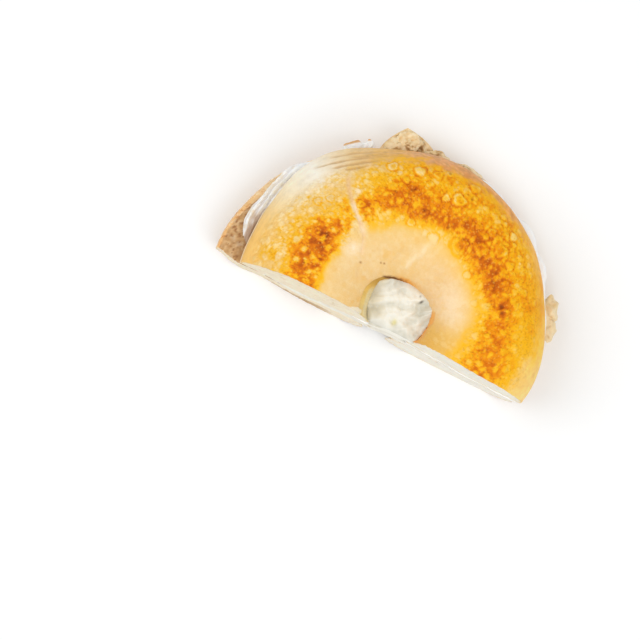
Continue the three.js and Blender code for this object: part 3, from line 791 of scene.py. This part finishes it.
def dress(obj, surface, skin_points, skin_colours, inside_colour, grain=None):
    """Colours per corner: the skin keeps its own, the cut face takes inside_colour.

    surface measures the distance to the whole skin, and inside_colour(points, skin colour
    nearby, distance to the skin) gives the cut's colours."""
    mesh = obj.data
    points = points_of(obj)
    tree = KDTree(len(skin_points))
    for k, point in enumerate(skin_points):
        tree.insert(point, k)
    tree.balance()
    index = np.array([tree.find(p)[1] for p in points])
    skin = skin_colours[index]
    loops = values_of(mesh.loops, "vertex_index", kind=np.int32)
    slots, sizes = (values_of(mesh.polygons, key, kind=np.int32) for key in ("material_index", "loop_total"))
    on_cut = np.repeat(slots, sizes) == 1
    away = np.zeros(len(points))
    for k in np.unique(loops[on_cut]):
        away[k] = surface.find_nearest(points[k])[3]
    inside = inside_colour(points, skin, away)
    colours = linear(np.where(on_cut[:, None], inside[loops], skin[loops]))
    if grain is not None:
        kept = mesh.attributes.new("grain", "FLOAT", "POINT")
        kept.data.foreach_set("value", grain[index].astype(np.float32))
    tone = mesh.color_attributes.new("tone", "FLOAT_COLOR", "CORNER")
    tone.data.foreach_set("color", np.insert(colours, 3, 1, axis=1).astype(np.float32).ravel())


SHARP_FROM = 62  # degrees


def place(obj):
    """From millimetres about the top bread's centre to metres in the CAD frame."""
    low, high = (np.array(corner) for corner in cad_box)
    set_points(obj, np.clip((points_of(obj) + SHIFT) / 1000, low, high))
    mesh = obj.data
    mesh.polygons.foreach_set("use_smooth", np.ones(len(mesh.polygons), bool))
    mesh.set_sharp_from_angle(angle=math.radians(SHARP_FROM))
    return obj


class Nodes:
    """Adds shader nodes to a material. An input is set to a number or colour, or linked to an output."""

    def __init__(self, made):
        made.use_nodes = True
        self.tree = made.node_tree
        self.tree.nodes.clear()

    def add(self, kind, inputs, **settings):
        node = self.tree.nodes.new("ShaderNode" + kind)
        for key, value in settings.items():
            setattr(node, key, value)
        for key, value in inputs.items():
            if isinstance(value, bpy.types.NodeSocket):
                self.tree.links.new(value, node.inputs[key])
            else:
                node.inputs[key].default_value = value
        return node.outputs


# Fine grain: kind of texture, size in mm, where it starts and is full, strength, linear colour.
SPECKS = [("Voronoi", 1.15, 0.34, 0.14, 0.40, (0.95, 0.50, 0.085, 1)),
    ("Noise", 0.75, 0.52, 0.70, 0.55, (0.42, 0.115, 0.004, 1))]
BUMP_DISTANCE = 0.0003
# Roughness, specular level, weight and depth in mm of the scatter, grain in mm, strength of its
# relief, spread of its colour, how far each colour scatters, and whether there is fine grain.
IN_BREAD, IN_CREAM = (1.0, 0.6, 0.35), (1.0, 0.95, 0.85)
LOOKS = dict(
    crust_top=(0.42, 0.10, 0.04, 1.2, 0.55, 0.45, 0.07, IN_BREAD, True),
    crumb_top=(0.75, 0.20, 0.18, 1.4, 0.6, 0.8, 0.05, IN_BREAD, False),
    crust_bottom=(0.62, 0.3, 0.06, 1.2, 0.5, 0.5, 0.08, IN_BREAD, False),
    crumb_bottom=(0.75, 0.20, 0.18, 1.4, 0.6, 0.8, 0.05, IN_BREAD, False),
    cream=(0.42, 0.40, 0.20, 1.2, 1.2, 0.25, 0.01, IN_CREAM, False),
    cream_cut=(0.45, 0.4, 0.20, 1.6, 1.0, 0.3, 0.01, IN_CREAM, False))


def material(name):
    """A food surface: the piece's own colours, finer mottling, grain in the relief and soft scatter."""
    roughness, specular, scatter, depth, grain, bump_strength, spread, reach, specks = LOOKS[name]
    made = bpy.data.materials.new(name)
    nodes = Nodes(made)
    colour = nodes.add("Attribute", {}, attribute_name="tone")["Color"]
    coords = nodes.add("TexCoord", {})["Object"]
    speckle = nodes.add("TexNoise", {"Vector": coords, "Scale": 1000 / grain, "Detail": 3})["Fac"]
    if specks:
        amount = nodes.add("Attribute", {}, attribute_name="grain")["Fac"]
        for kind, size, low, high, strength, target in SPECKS:
            texture = nodes.add("Tex" + kind, {"Vector": coords, "Scale": 1000 / size})[0]
            mask = nodes.add("MapRange", {"Value": texture, "From Min": low, "From Max": high,
                                          "To Max": strength})
            share = nodes.add("Math", {0: mask["Result"], 1: amount}, operation="MULTIPLY")[0]
            colour = nodes.add("Mix", {"Factor": share, "A": colour, "B": target}, data_type="RGBA")["Result"]
    # Darker grains are also yellower.
    dark, bright = ((1 + 0.4 * side, 1 + side, 1 + 2.2 * side, 1) for side in (-spread, spread))
    vary = nodes.add("Mix", {"Factor": speckle, "A": dark, "B": bright}, data_type="RGBA")["Result"]
    shade = nodes.add("VectorMath", {0: colour, 1: vary}, operation="MULTIPLY")["Vector"]
    rough = nodes.add("MapRange", {"Value": speckle, "To Min": roughness - 0.08, "To Max": roughness + 0.10})
    relief = nodes.add("TexNoise", {"Vector": coords, "Scale": 1000 / (grain * 0.6), "Detail": 4})["Fac"]
    normal = nodes.add("Bump", {"Height": relief, "Strength": bump_strength,
                                "Distance": BUMP_DISTANCE})["Normal"]
    shader = nodes.add("BsdfPrincipled", {
        "Base Color": shade, "Roughness": rough["Result"], "Normal": normal, "Specular IOR Level": specular,
        "Subsurface Weight": scatter, "Subsurface Radius": reach, "Subsurface Scale": depth / 1000})
    nodes.add("OutputMaterial", {0: shader[0]})
    return made


def finish_piece(obj, block, skin, colours, inside, names, grain=None):
    """Cuts a piece along the block that cut_block makes, colours it, gives it a material for its
    skin and one for its cut, and puts it in its place."""
    surface = surface_of(obj)
    combine(obj, cut_block(*block), "DIFFERENCE")
    dress(obj, surface, skin, colours, inside, grain)
    mesh = obj.data
    slots = values_of(mesh.polygons, "material_index", kind=np.int32)
    mesh.materials.clear()
    for name in names:
        mesh.materials.append(material(name))
    mesh.polygons.foreach_set("material_index", slots)
    mesh.update()
    return place(obj)


FOOT_SHADOW_TO = [(-42, 2.5), (-28, 6.5)]  # x, and how high the brown band, painted shadow at the base, reaches


def bread_inside(seed, crust, sliced):
    """Colours of the cut bread: pale crumb with darker pores, and the crust's edge, which the
    sliced faces go without. sliced(points) says how far in from those a point is."""
    def colour(points, skin, away):
        x, _, z = points.T
        rough = partial(noise, points)
        depth = crumb_relief(points * np.array([1, 0, 1]), seed)
        # The crumb is painted darker in its pores: painted shade in the pits.
        crumb = mix((255, 238, 209), (228, 196, 150), smooth(0.05, 0.50, depth))
        crumb = mix(crumb, (255, 250, 238), 0.6 * smooth(-4, 10, x) * smooth(0.5, 0.2, depth))
        crumb = crumb * (1 + 0.02 * rough(2.5, seed + 9) + 0.015 * rough(0.9, seed + 10))[:, None]
        crumb = mix((253, 234, 204), crumb, smooth(0.6, 3.0, away))
        edge = away + 0.15 * rough(1.2, seed + 8)
        rim = mix(skin, crumb, crust + (0.92 - crust) * smooth(-4, 8, x) * smooth(8, 4, z)) * 0.97
        rim = mix(rim, crumb, smooth(1.6, 0.8, sliced(points)))
        # Left of the hole a brown band lies low on the cut: painted shadow at the bottom bread's foot, partly
        # its thick base crust.
        level = z + 1.2 * rough(3.0, seed + 14) + 0.6 * rough(1.0, seed + 15) - along(x, FOOT_SHADOW_TO)
        brown = between(x, -48, -36, -25, -15) * smooth(2.5, -1.5, level)
        # Cream that the knife drew over the crumb, right of the hole.
        drawn = rough(3.0, seed + 12, (4, 1, 1)) + 0.5 * rough(1.2, seed + 13, (3, 1, 1))
        film = smooth(-15, -7, x) * smooth(-0.6, 0.5, drawn) * smooth(0.15, 0.5, edge)
        return layered(rim, (crumb, smooth(0.2, 0.7, edge)), ((196, 156, 110), 0.80 * brown),
                       ((250, 246, 236), 0.6 * film * smooth(0.35, 0.1, depth)))
    return colour


# ---------------------------------------------------------------- the top bread, made
def top_bread():
    base = crown_points()
    obj = new_object("top_crust", base, sweep_faces(TURNS, DOME_ROWS + UNDER_ROWS))
    normals = normals_of(obj)
    relief, colour, grain = crown_fields(base, normals)
    skin = base + normals * (relief - SKIN)[:, None]
    set_points(obj, skin)
    inside = bread_inside(101, 0.2, lambda p: p[:, 2] - top_face(p[:, 0], p[:, 1]))
    block = 12, 47, lambda p: np.maximum(crumb_relief(p, 101), -0.12)
    return finish_piece(obj, block, skin, colour, inside, ("crust_top", "crumb_top"), grain)


# ---------------------------------------------------------------- the bottom bread
def bottom_points():
    """The skin's points, and how many there are in each of its turns."""
    turn = turns_of(TURNS)[:, None]
    hole = hole_outline(turn, BOTTOM_SHIFT)

    def on_side(across, z):
        z = np.broadcast_to(z, (TURNS, z.shape[1]))
        return raised(hole + (bottom_outline(turn, z) - hole) * across[..., None], z)

    def on_face(across):
        spot = on_side(across, BOTTOM_HEIGHT + 0 * across)[..., :2]
        return raised(spot, bottom_face(spot[..., 0], spot[..., 1]))

    quarter = np.linspace(0, np.pi / 2, 30)[None, :]
    out = rounded(np.cos(quarter), BASE_POWER)
    height = BASE_WIDEST * (1 - rounded(np.sin(quarter), BASE_POWER))
    brow = np.linspace(0, 1, 10)[None, 1:-1]
    face_edge = on_face(np.array([[0.985]]))
    widest = on_side(np.array([[1.0]]), np.array([[BASE_WIDEST]]))
    # Between the widest level and the sliced face the side runs up straight.
    upper = face_edge + (widest - face_edge) * brow[..., None]
    inner_top = on_face(np.array([[0.015]]))
    inner_low = on_side(np.array([[0.0]]), np.array([[BASE_WIDEST]]))
    inner = inner_low + (inner_top - inner_low) * np.linspace(0, 1, 8)[None, 1:-1, None]
    floor = np.linspace(0.76, 0.20, 22)[None, 1:-1]
    face = np.concatenate([np.linspace(0.015, 0.72, 26), np.linspace(0.72, 0.985, 44)[1:-1]])[None, :]
    parts = [face_edge, upper, on_side(0.76 + 0.24 * out, height), on_side(floor, 0 * floor),
             on_side((0.20 * (1 - out))[:, ::-1], height[:, ::-1]), inner, on_face(face)]
    rows = np.concatenate([np.broadcast_to(p, (TURNS, p.shape[1], 3)) for p in parts], 1)
    return rows.reshape(-1, 3), rows.shape[1]


def torn_relief(points):
    """Crags and pits of torn crumb, in mm."""
    spots = bent(points, 1.1, 0.5, 400)
    pits, mark, _ = cells(spots, 1.5, 404)
    crag = 1 - 2 * np.abs(noise(spots, 1.7, 407))
    return 0.26 * crag + 0.20 * noise(points, 0.7, 409) - 0.40 * smooth(0.42, 0.12, pits) * (mark > 0.35)


def torn_colours(points):
    x, y, _ = points.T
    depth = torn_relief(points)
    back = smooth(2, 14, x * -0.2 + y * 0.3)
    # Darker in the hollows, and brown in the pits near the top bread's edge: painted shade.
    pit_shade = smooth(0.12, -0.30, depth) * smooth(60.0, 57.0, np.hypot(x, y)) * (0.25 + 0.75 * back)
    return layered((251, 230, 190), ((230, 193, 136), smooth(0.35, -0.35, depth) * (0.4 + 0.6 * back)),
                   ((234, 196, 130), 0.5 * smooth(0.0, 0.6, fractal(points, 2.5, 2, 411))),
                   ((150, 102, 54), 0.80 * pit_shade))


def tear_piece(at, radius, z, length, out, up, seed, fine):
    """A torn lump of crumb, made of a globe."""
    bpy.ops.mesh.primitive_ico_sphere_add(subdivisions=fine, radius=1)
    ball = bpy.context.active_object
    two_slots(ball.data)
    unit = points_of(ball)
    wave = np.sin(unit[:, 0] * 5 + seed * 2) * np.sin(unit[:, 1] * 6 + seed)
    ripple = np.sin(unit[:, 2] * 9 + unit[:, 0] * 4 + seed)
    shape = unit * (1 + 0.16 * wave + 0.1 * ripple)[:, None] * np.array([out, length, up])
    turn = math.radians(at)
    c, s = math.cos(turn), math.sin(turn)
    spun = np.stack([shape[:, 0] * c - shape[:, 1] * s, shape[:, 0] * s + shape[:, 1] * c, shape[:, 2]], -1)
    spot = spun + np.array([*at_angle(at, radius), z])
    away = np.maximum(np.linalg.norm(spun, axis=1, keepdims=True), 0.6)
    rough = (torn_relief(spot) - 0.2) * min(out, up) / 2.2
    set_points(ball, spot + spun / away * rough[:, None])
    return ball


# How wide the crust shows round the sliced face, by angle.
CRUSTY = [(100, 0.4), (135, 1.0), (150, 2.6), (166, 3.0), (178, 1.9), (195, 1.5)]


def bottom_fields(points, normals):
    """Relief in mm and colour over the bottom bread's skin."""
    x, y, z = points.T
    turn, radius = bearing(x, y)
    facing = normals[:, 2]
    rough, clouds = partial(noise, points), partial(fractal, points)
    # Crust of the side, browner towards the base.
    speckled = smooth(148, 162, turn) * smooth(8, 11, z)
    relief = 0.22 * clouds(12, 2, 203)
    relief += 0.05 * rough(1.0, 209) + 0.08 * rough(1.6, 212) + speckled * 0.12 * rough(0.9, 218)
    crust = layered(
        (240, 196, 134), ((250, 220, 172), smooth(-0.6, 0.6, clouds(7, 3, 211))),
        ((228, 166, 98), 0.45 * smooth(0.0, 0.7, clouds(3.4, 3, 213) + 0.3 * (9 - z) / 9)),
        (mix((250, 220, 174), (238, 186, 122), smooth(158, 176, turn)),
         0.8 * smooth(132, 146, turn) * smooth(8, 11, z)),
        ((196, 122, 60), (0.25 + 0.55 * speckled) * smooth(0.15, 0.6, clouds(1.2, 2, 214))),
        ((255, 240, 208), 0.6 * speckled * smooth(0.2, 0.6, rough(0.9, 216))),
        ((246, 228, 196), 0.8 * between(turn, 30, 40, 82, 92) * smooth(8, 12, z)),
        ((208, 140, 78), smooth(4.0, 0.3, z)))
    # The baked base.
    base = smooth(0.8, 0.0, z) * smooth(-0.6, -0.95, facing)
    crust = mix(crust, mix((206, 146, 84), (160, 100, 52), smooth(-0.4, 0.7, clouds(6, 3, 215))), base)
    relief = relief * (1 - base) + base * 0.25 * np.minimum(0, rough(3.0, 217))
    # The sliced face: toasted crumb with open pores.
    out = x - BOTTOM_SHIFT
    rim = BOTTOM_RADIUS + swell(np.arctan2(y, out), BOTTOM_SWELLS) - np.hypot(out, y)
    crusty = along(turn, CRUSTY) + 0.5 * rough(2.0, 219)
    face = smooth(0.6, 0.9, facing) * smooth(12.5, 13.6, z) * smooth(-0.2, 0.2, rim - crusty)
    pores = crumb_relief(points, 221)
    # dark is partly painted shade in the pores and partly toasted mottling.
    dark = 0.6 * smooth(0.12, 0.45, pores) + 0.9 * smooth(0.15, 0.55, clouds(0.9, 2, 226))
    toasted = layered((222, 184, 134), ((192, 146, 94), smooth(-0.5, 0.5, clouds(1.3, 3, 223))),
                      ((216, 194, 168), 0.5 * smooth(0.0, 0.5, clouds(2.2, 3, 224))),
                      ((156, 104, 60), np.clip(dark, 0, 0.8)))
    relief += face * 0.22 * clouds(1.1, 2, 226)
    relief = relief * (1 - face) - face * (0.1 + 0.9 * pores)
    # Torn crumb at the back and at the right.
    torn = bell((turn - TONGUE_AT) / 12) * smooth(50, 54, radius)
    torn = np.maximum(torn, bell((turn - 24) / 9) * smooth(50, 53, radius))
    crumb = torn_colours(points)
    ragged = torn * smooth(9, 13, z)
    relief += ragged * (torn_relief(points) - 0.25)
    return relief, layered(crust, (mix(toasted, crumb, torn), face), (crumb, ragged))


def bottom_bread():
    base, size = bottom_points()
    obj = new_object("bottom_crust", base, sweep_faces(TURNS, size))
    normals = normals_of(obj)
    relief, colour = bottom_fields(base, normals)
    flat_base = smooth(0.0, 0.6, base[:, 2])
    skin = base + normals * ((relief - SKIN) * flat_base)[:, None]
    set_points(obj, skin)
    skins, colours = [skin], [colour]
    for torn in TEARS:
        seed = torn[-1]
        ball = tear_piece(*torn, 5 if seed == 1 else 4)
        lump = points_of(ball)
        tint = torn_colours(lump)
        # The last two are flakes of crust.
        if seed > 6:
            tint = mix((222, 170, 112), (255, 253, 250), smooth(60.2, 59.6, np.hypot(lump[:, 0], lump[:, 1])))
        skins.append(lump)
        colours.append(tint)
        combine(obj, ball, "UNION")
    inside = bread_inside(151, 0.75, lambda p: bottom_face(p[:, 0], p[:, 1]) - p[:, 2])
    block = -3, 19, lambda p: np.maximum(crumb_relief(p, 151), -0.08)
    return finish_piece(obj, block, np.concatenate(skins), np.concatenate(colours), inside,
                        ("crust_bottom", "crumb_bottom"))


# ---------------------------------------------------------------- the cream cheese
def cream_layer():
    turn = turns_of(TURNS)[None, :]
    steps = [(a, 1.0) for a in (*np.linspace(0.05, 0.84, 10), *np.linspace(0.84, 0.95, 24)[1:])]
    rim = np.linspace(np.pi / 2, -np.pi / 2, 26)[1:-1]
    steps += [(0.95 + 0.05 * math.cos(t), 0.5 + 0.5 * math.sin(t)) for t in rim]
    steps += [(a, 0.0) for a in np.linspace(0.95, 0.05, 10)]
    across, up = np.array(steps).T[..., None]
    spot = HOLE_MIDDLE + (cream_outline(turn) - HOLE_MIDDLE) * across[..., None]
    low = bottom_face(spot[..., 0], spot[..., 1]) + GAP
    high = top_face(spot[..., 0], spot[..., 1]) - GAP
    rings = raised(spot, low + (high - low) * up)
    heart = [[*HOLE_MIDDLE, top_face(*HOLE_MIDDLE) - GAP], [*HOLE_MIDDLE, bottom_face(*HOLE_MIDDLE) + GAP]]
    points = np.concatenate([rings.reshape(-1, 3), np.array(heart)])
    return new_object("cream_cheese", points, globe_faces(len(steps), TURNS))


def inward(spot, shift, distance):
    middle = HOLE_MIDDLE + [shift, 0]
    out = spot - middle
    return middle + out * (1 - distance / np.linalg.norm(out, axis=-1, keepdims=True))


def lump_side(turn, z):
    """The lump's side clear of the hole's wall: one outline for a height, or per point."""
    z = np.broadcast_to(z, turn.shape)
    low = inward(hole_outline(turn, BOTTOM_SHIFT), BOTTOM_SHIFT, 0.6)
    waist = inward(hole_outline(turn, BOTTOM_SHIFT / 2), BOTTOM_SHIFT / 2, 2.8)
    foot = top_hole(turn, 0 * turn)
    lift = z - top_face(foot[..., 0], foot[..., 1]) - DOME_TUCK
    rise = np.clip(lift / (dome_height(turn) - DOME_TUCK), 0, 0.999)
    high = inward(hole_wall(turn, rise), 0, 0.45)
    to_waist = smooth(12.5, 15.5, z)[..., None]
    to_high = smooth(18.5, 21.5, z)[..., None]
    return (low * (1 - to_waist) + waist * to_waist) * (1 - to_high) + high * to_high


def oval(x, y, at_x, at_y, wide, deep):
    return np.exp(-(((x - at_x) / wide) ** 2 + ((y - at_y) / deep) ** 2))


def lump_relief(x, y):
    """Swirled ridges and dimples of the spread cream in the hole."""
    flat = np.stack([x, y, 0 * x], -1)
    bend = 0.8 * y - 0.6 * x - 0.012 * (x - 3) ** 2 + 2.4 * noise(flat, 6, 501)
    ridges = 0.8 * np.abs(np.sin(bend * 0.42 + 0.5)) ** 1.4
    ridges = ridges + 0.25 * np.sin(bend * 1.35 + 1.6 * noise(flat, 5, 502))
    ridges = ridges + 0.10 * np.sin(bend * 2.9 + 0.5 * x + 2.5 * noise(flat, 3, 509))
    lumps = 0.55 * (1 - 2 * np.abs(noise(flat, 5.0, 503))) + 0.42 * noise(flat, 2.4, 505)
    lumps = lumps + 0.20 * noise(flat, 1.1, 507)
    return ridges - 0.7 + lumps - 1.9 * oval(x, y, 9.2, 2.6, 2.0, 2.2) - 1.1 * oval(x, y, 3.2, -4.4, 1.1, 1.0)


LUMP_TURNS, LUMP_RISE, LUMP_FOOT = 420, 1.2, 2.6


def cream_lump():
    turn = turns_of(LUMP_TURNS)
    # The brim is ragged.
    rag = raised(ray(turn, 9.0), 3 + 0 * turn)
    ragged = 0.40 * noise(rag, 2.2, 511) + 0.30 * noise(rag, 0.9, 513)
    reach = 0.55 + 1.1 * bump(turn, 195, 36) - 0.5 * bump(turn, 116, 14) - 0.25 * bump(turn, -20, 12)
    reach = brim_radius(np.degrees(turn)) + reach + ragged * (1 - 0.6 * bump(turn, 160, 35))
    edge = HOLE_MIDDLE + ray(turn, reach)
    rings = []
    for part in np.linspace(0.02, 1.0, 58):
        spot = HOLE_MIDDLE + (edge - HOLE_MIDDLE) * part
        z = lump_top(*spot.T) + LUMP_RISE * (1 - part**2) + 1.0 * lump_relief(*spot.T) * (1 - 0.5 * part**6)
        rings.append(raised(spot, z - 0.2 * smooth(0.9, 1.0, part) ** 2))
    brim = rings[-1][:, 2]
    for down in np.linspace(0.04, 1, 60):
        z = brim + (LUMP_FOOT - brim) * down**1.2
        fade = smooth(0.04, 0.3, down)
        rings.append(raised(edge * (1 - fade) + lump_side(turn, z) * fade, z))
    middle = HOLE_MIDDLE[:, None]
    top = [*HOLE_MIDDLE, float(lump_top(*middle)[0]) + LUMP_RISE + float(lump_relief(*middle)[0])]
    foot = [HOLE["x"] + BOTTOM_SHIFT, HOLE["y"], LUMP_FOOT - 0.2]
    points = np.concatenate([*rings, np.array([top, foot])])
    return new_object("lump", points, globe_faces(len(rings), LUMP_TURNS))


def cream_fields(points, normals):
    """Relief in mm and colour over the cream's skin."""
    x, y, z = points.T
    turn, radius = bearing(x, y)
    rough = partial(noise, points)
    edge = smooth(50, 54, radius)
    relief = edge * (0.35 * fractal(points, 3.2, 3, 601) - 0.15)
    # Folds that run along the edge at the far left.
    left = bump(np.radians(turn), 166, 13) * smooth(52, 54.5, radius) * smooth(-0.2, 0.5, normals[:, 2])
    course = radius - 55 + 0.13 * (turn - 168) + 0.5 * rough(6, 603) + 0.25 * rough(1.7, 604)
    wave = np.sin(course * 2 * np.pi / 2.0) + 0.4 * np.sin(course * 2 * np.pi / 0.85 + 1)
    relief += left * (0.45 * wave + 0.25 * rough(1.4, 606) - 0.35)
    relief += bump(np.radians(turn), 50, 30) * edge * 0.5 * rough(2.4, 605)
    back = smooth(80, 120, turn)
    shadow = smooth(166, 177, turn) * smooth(58.8, 56.6, radius + 0.8 * rough(2.5, 619))
    # Painted shade: grey in the grooves of the folds, and a brown painted shadow under the top bread's edge.
    colour = layered((255, 255, 254), ((218, 208, 200), 0.9 * smooth(0.2, -0.9, wave) * left),
                     ((240, 226, 200), 0.35 * smooth(0.1, 0.8, rough(4, 607)) * back),
                     ((236, 214, 176), smooth(0.3, 0.7, rough(1.7, 609)) * 0.35 * edge * back),
                     ((172, 136, 106), 0.85 * shadow * smooth(50, 53, radius)))
    # The lump in the hole: painted shade in its hollows, with a yellow pit and a dark slit.
    dip = smooth(1.4, -0.6, z - lump_top(x, y))
    course, across = 0.54 * (x - 8.5) + 0.84 * (y - 6.6), 0.84 * (x - 8.5) - 0.54 * (y - 6.6)
    tint = layered((240, 236, 223), ((206, 200, 182), dip * 0.85),
                   ((236, 222, 150), 0.75 * oval(x, y, 3.2, -3.9, 0.8, 1.1)),
                   ((232, 214, 166), 0.5 * smooth(-4, -7.5, x) * smooth(4, 8, y)),
                   ((84, 78, 70), 0.85 * oval(course, across, 0, 0, 0.75, 0.38)),
                   ((150, 140, 124), 0.6 * np.exp(-((x - 7.3) ** 2 + (y - 8.2) ** 2) / 0.15)))
    in_hole = (radius < 17) & (z > 21)
    return relief, np.where(in_hole[:, None], tint, colour)


def streaks(points, wide, fine):
    """Streaks that the knife drew along the cream."""
    return wide * noise(points, 3.0, 611, (4, 1, 0.7)) + fine * noise(points, 1.2, 613, (3, 1, 0.8))


def cream_inside(points, skin, away):
    dots, mark, _ = cells(points, 6.0, 615)
    return layered((251, 245, 230), ((238, 230, 212), smooth(-0.4, 0.9, streaks(points, 1, 0.5))),
                   ((196, 168, 122), 0.8 * smooth(0.16, 0.08, dots) * (mark > 0.5)))


def cream_cut(points):
    # Under the bread's level the cream in the hole is drawn back from the cut.
    below = 3.0 * smooth(15.0, 11.5, points[:, 2]) * smooth(16, 13, np.abs(points[:, 0] + 1))
    return streaks(points, 0.28, 0.14) - 0.25 + 0.25 * noise(points, 9, 617) + below


def cream_cheese():
    obj = cream_layer()
    normals = normals_of(obj)
    base = points_of(obj)
    relief, _ = cream_fields(base, normals)
    set_points(obj, base + normals * (relief - 0.05 + 0.38 * np.abs(normals[:, 2]))[:, None])
    combine(obj, cream_lump(), "UNION")
    skin = points_of(obj)
    _, colour = cream_fields(skin, normals_of(obj))
    return finish_piece(obj, (-3, 40, cream_cut), skin, colour, cream_inside, ("cream", "cream_cut"))


# ---------------------------------------------------------------- stage, light and camera
FLOOR_SIZE = 6
# Name, place, power and colour of the two round lamps, which aim at the middle of the part.
LAMPS = [("key", (0.48, -0.24, 1.06), 4.6, (1.0, 0.995, 0.98)),
         ("fill", (-0.60, -0.05, 0.95), 3.9, (0.985, 0.99, 1.0))]
LAMP_SIZE, LAMP_AIM = 0.9, Vector((0, 0, 0.02))
CAMERA_AT, CAMERA_TURN, CAMERA_LENS = (-0.01581, -0.03915, 0.8), 26.57, 124.7


def set_inputs(node, values):
    for key, value in values.items():
        node.inputs[key].default_value = value


def stage():
    bpy.ops.mesh.primitive_plane_add(size=FLOOR_SIZE, location=(0, 0, 0))
    floor = bpy.context.active_object
    floor.name = "floor"
    white = bpy.data.materials.new("floor_white")
    white.use_nodes = True
    set_inputs(white.node_tree.nodes["Principled BSDF"], {
        "Base Color": (0.945, 0.952, 0.962, 1), "Roughness": 0.9, "Specular IOR Level": 0.1,
        "Emission Color": (1, 1, 1, 1), "Emission Strength": 0.03})
    floor.data.materials.append(white)


def light():
    world = bpy.data.worlds.new("world")
    bpy.context.scene.world = world
    world.use_nodes = True
    set_inputs(world.node_tree.nodes["Background"], {"Color": (0.98, 0.995, 1.0, 1), "Strength": 0.58})
    for name, place_at, power, colour in LAMPS:
        data = bpy.data.lights.new(name, "AREA")
        data.shape = "DISK"
        data.size = LAMP_SIZE
        data.energy = power
        data.color = colour
        lamp = add_object(name, data)
        lamp.location = place_at
        lamp.rotation_euler = (LAMP_AIM - Vector(place_at)).to_track_quat("-Z", "Y").to_euler()


def camera():
    data = bpy.data.cameras.new("camera")
    data.sensor_width = 36
    data.lens = CAMERA_LENS
    eye = add_object("camera", data)
    eye.location = CAMERA_AT
    eye.rotation_euler = (0, 0, math.radians(CAMERA_TURN))
    bpy.context.scene.camera = eye


stage()
light()
camera()
scene = bpy.context.scene
scene.view_settings.view_transform = "Standard"
scene.view_settings.look = "None"

for piece, node, slot in ((top_bread(), "bread_top", "top_crust"),
                          (bottom_bread(), "bread_bottom", "bottom_crust"),
                          (cream_cheese(), "cream_cheese", "cream_cheese")):
    piece.name = node + "_dressed"
    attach(piece, "root")
    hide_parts(node)
    print("PIECE", piece.name, len(piece.data.vertices), "verts",
          sum(len(p.vertices) - 2 for p in piece.data.polygons), "tris", flush=True)
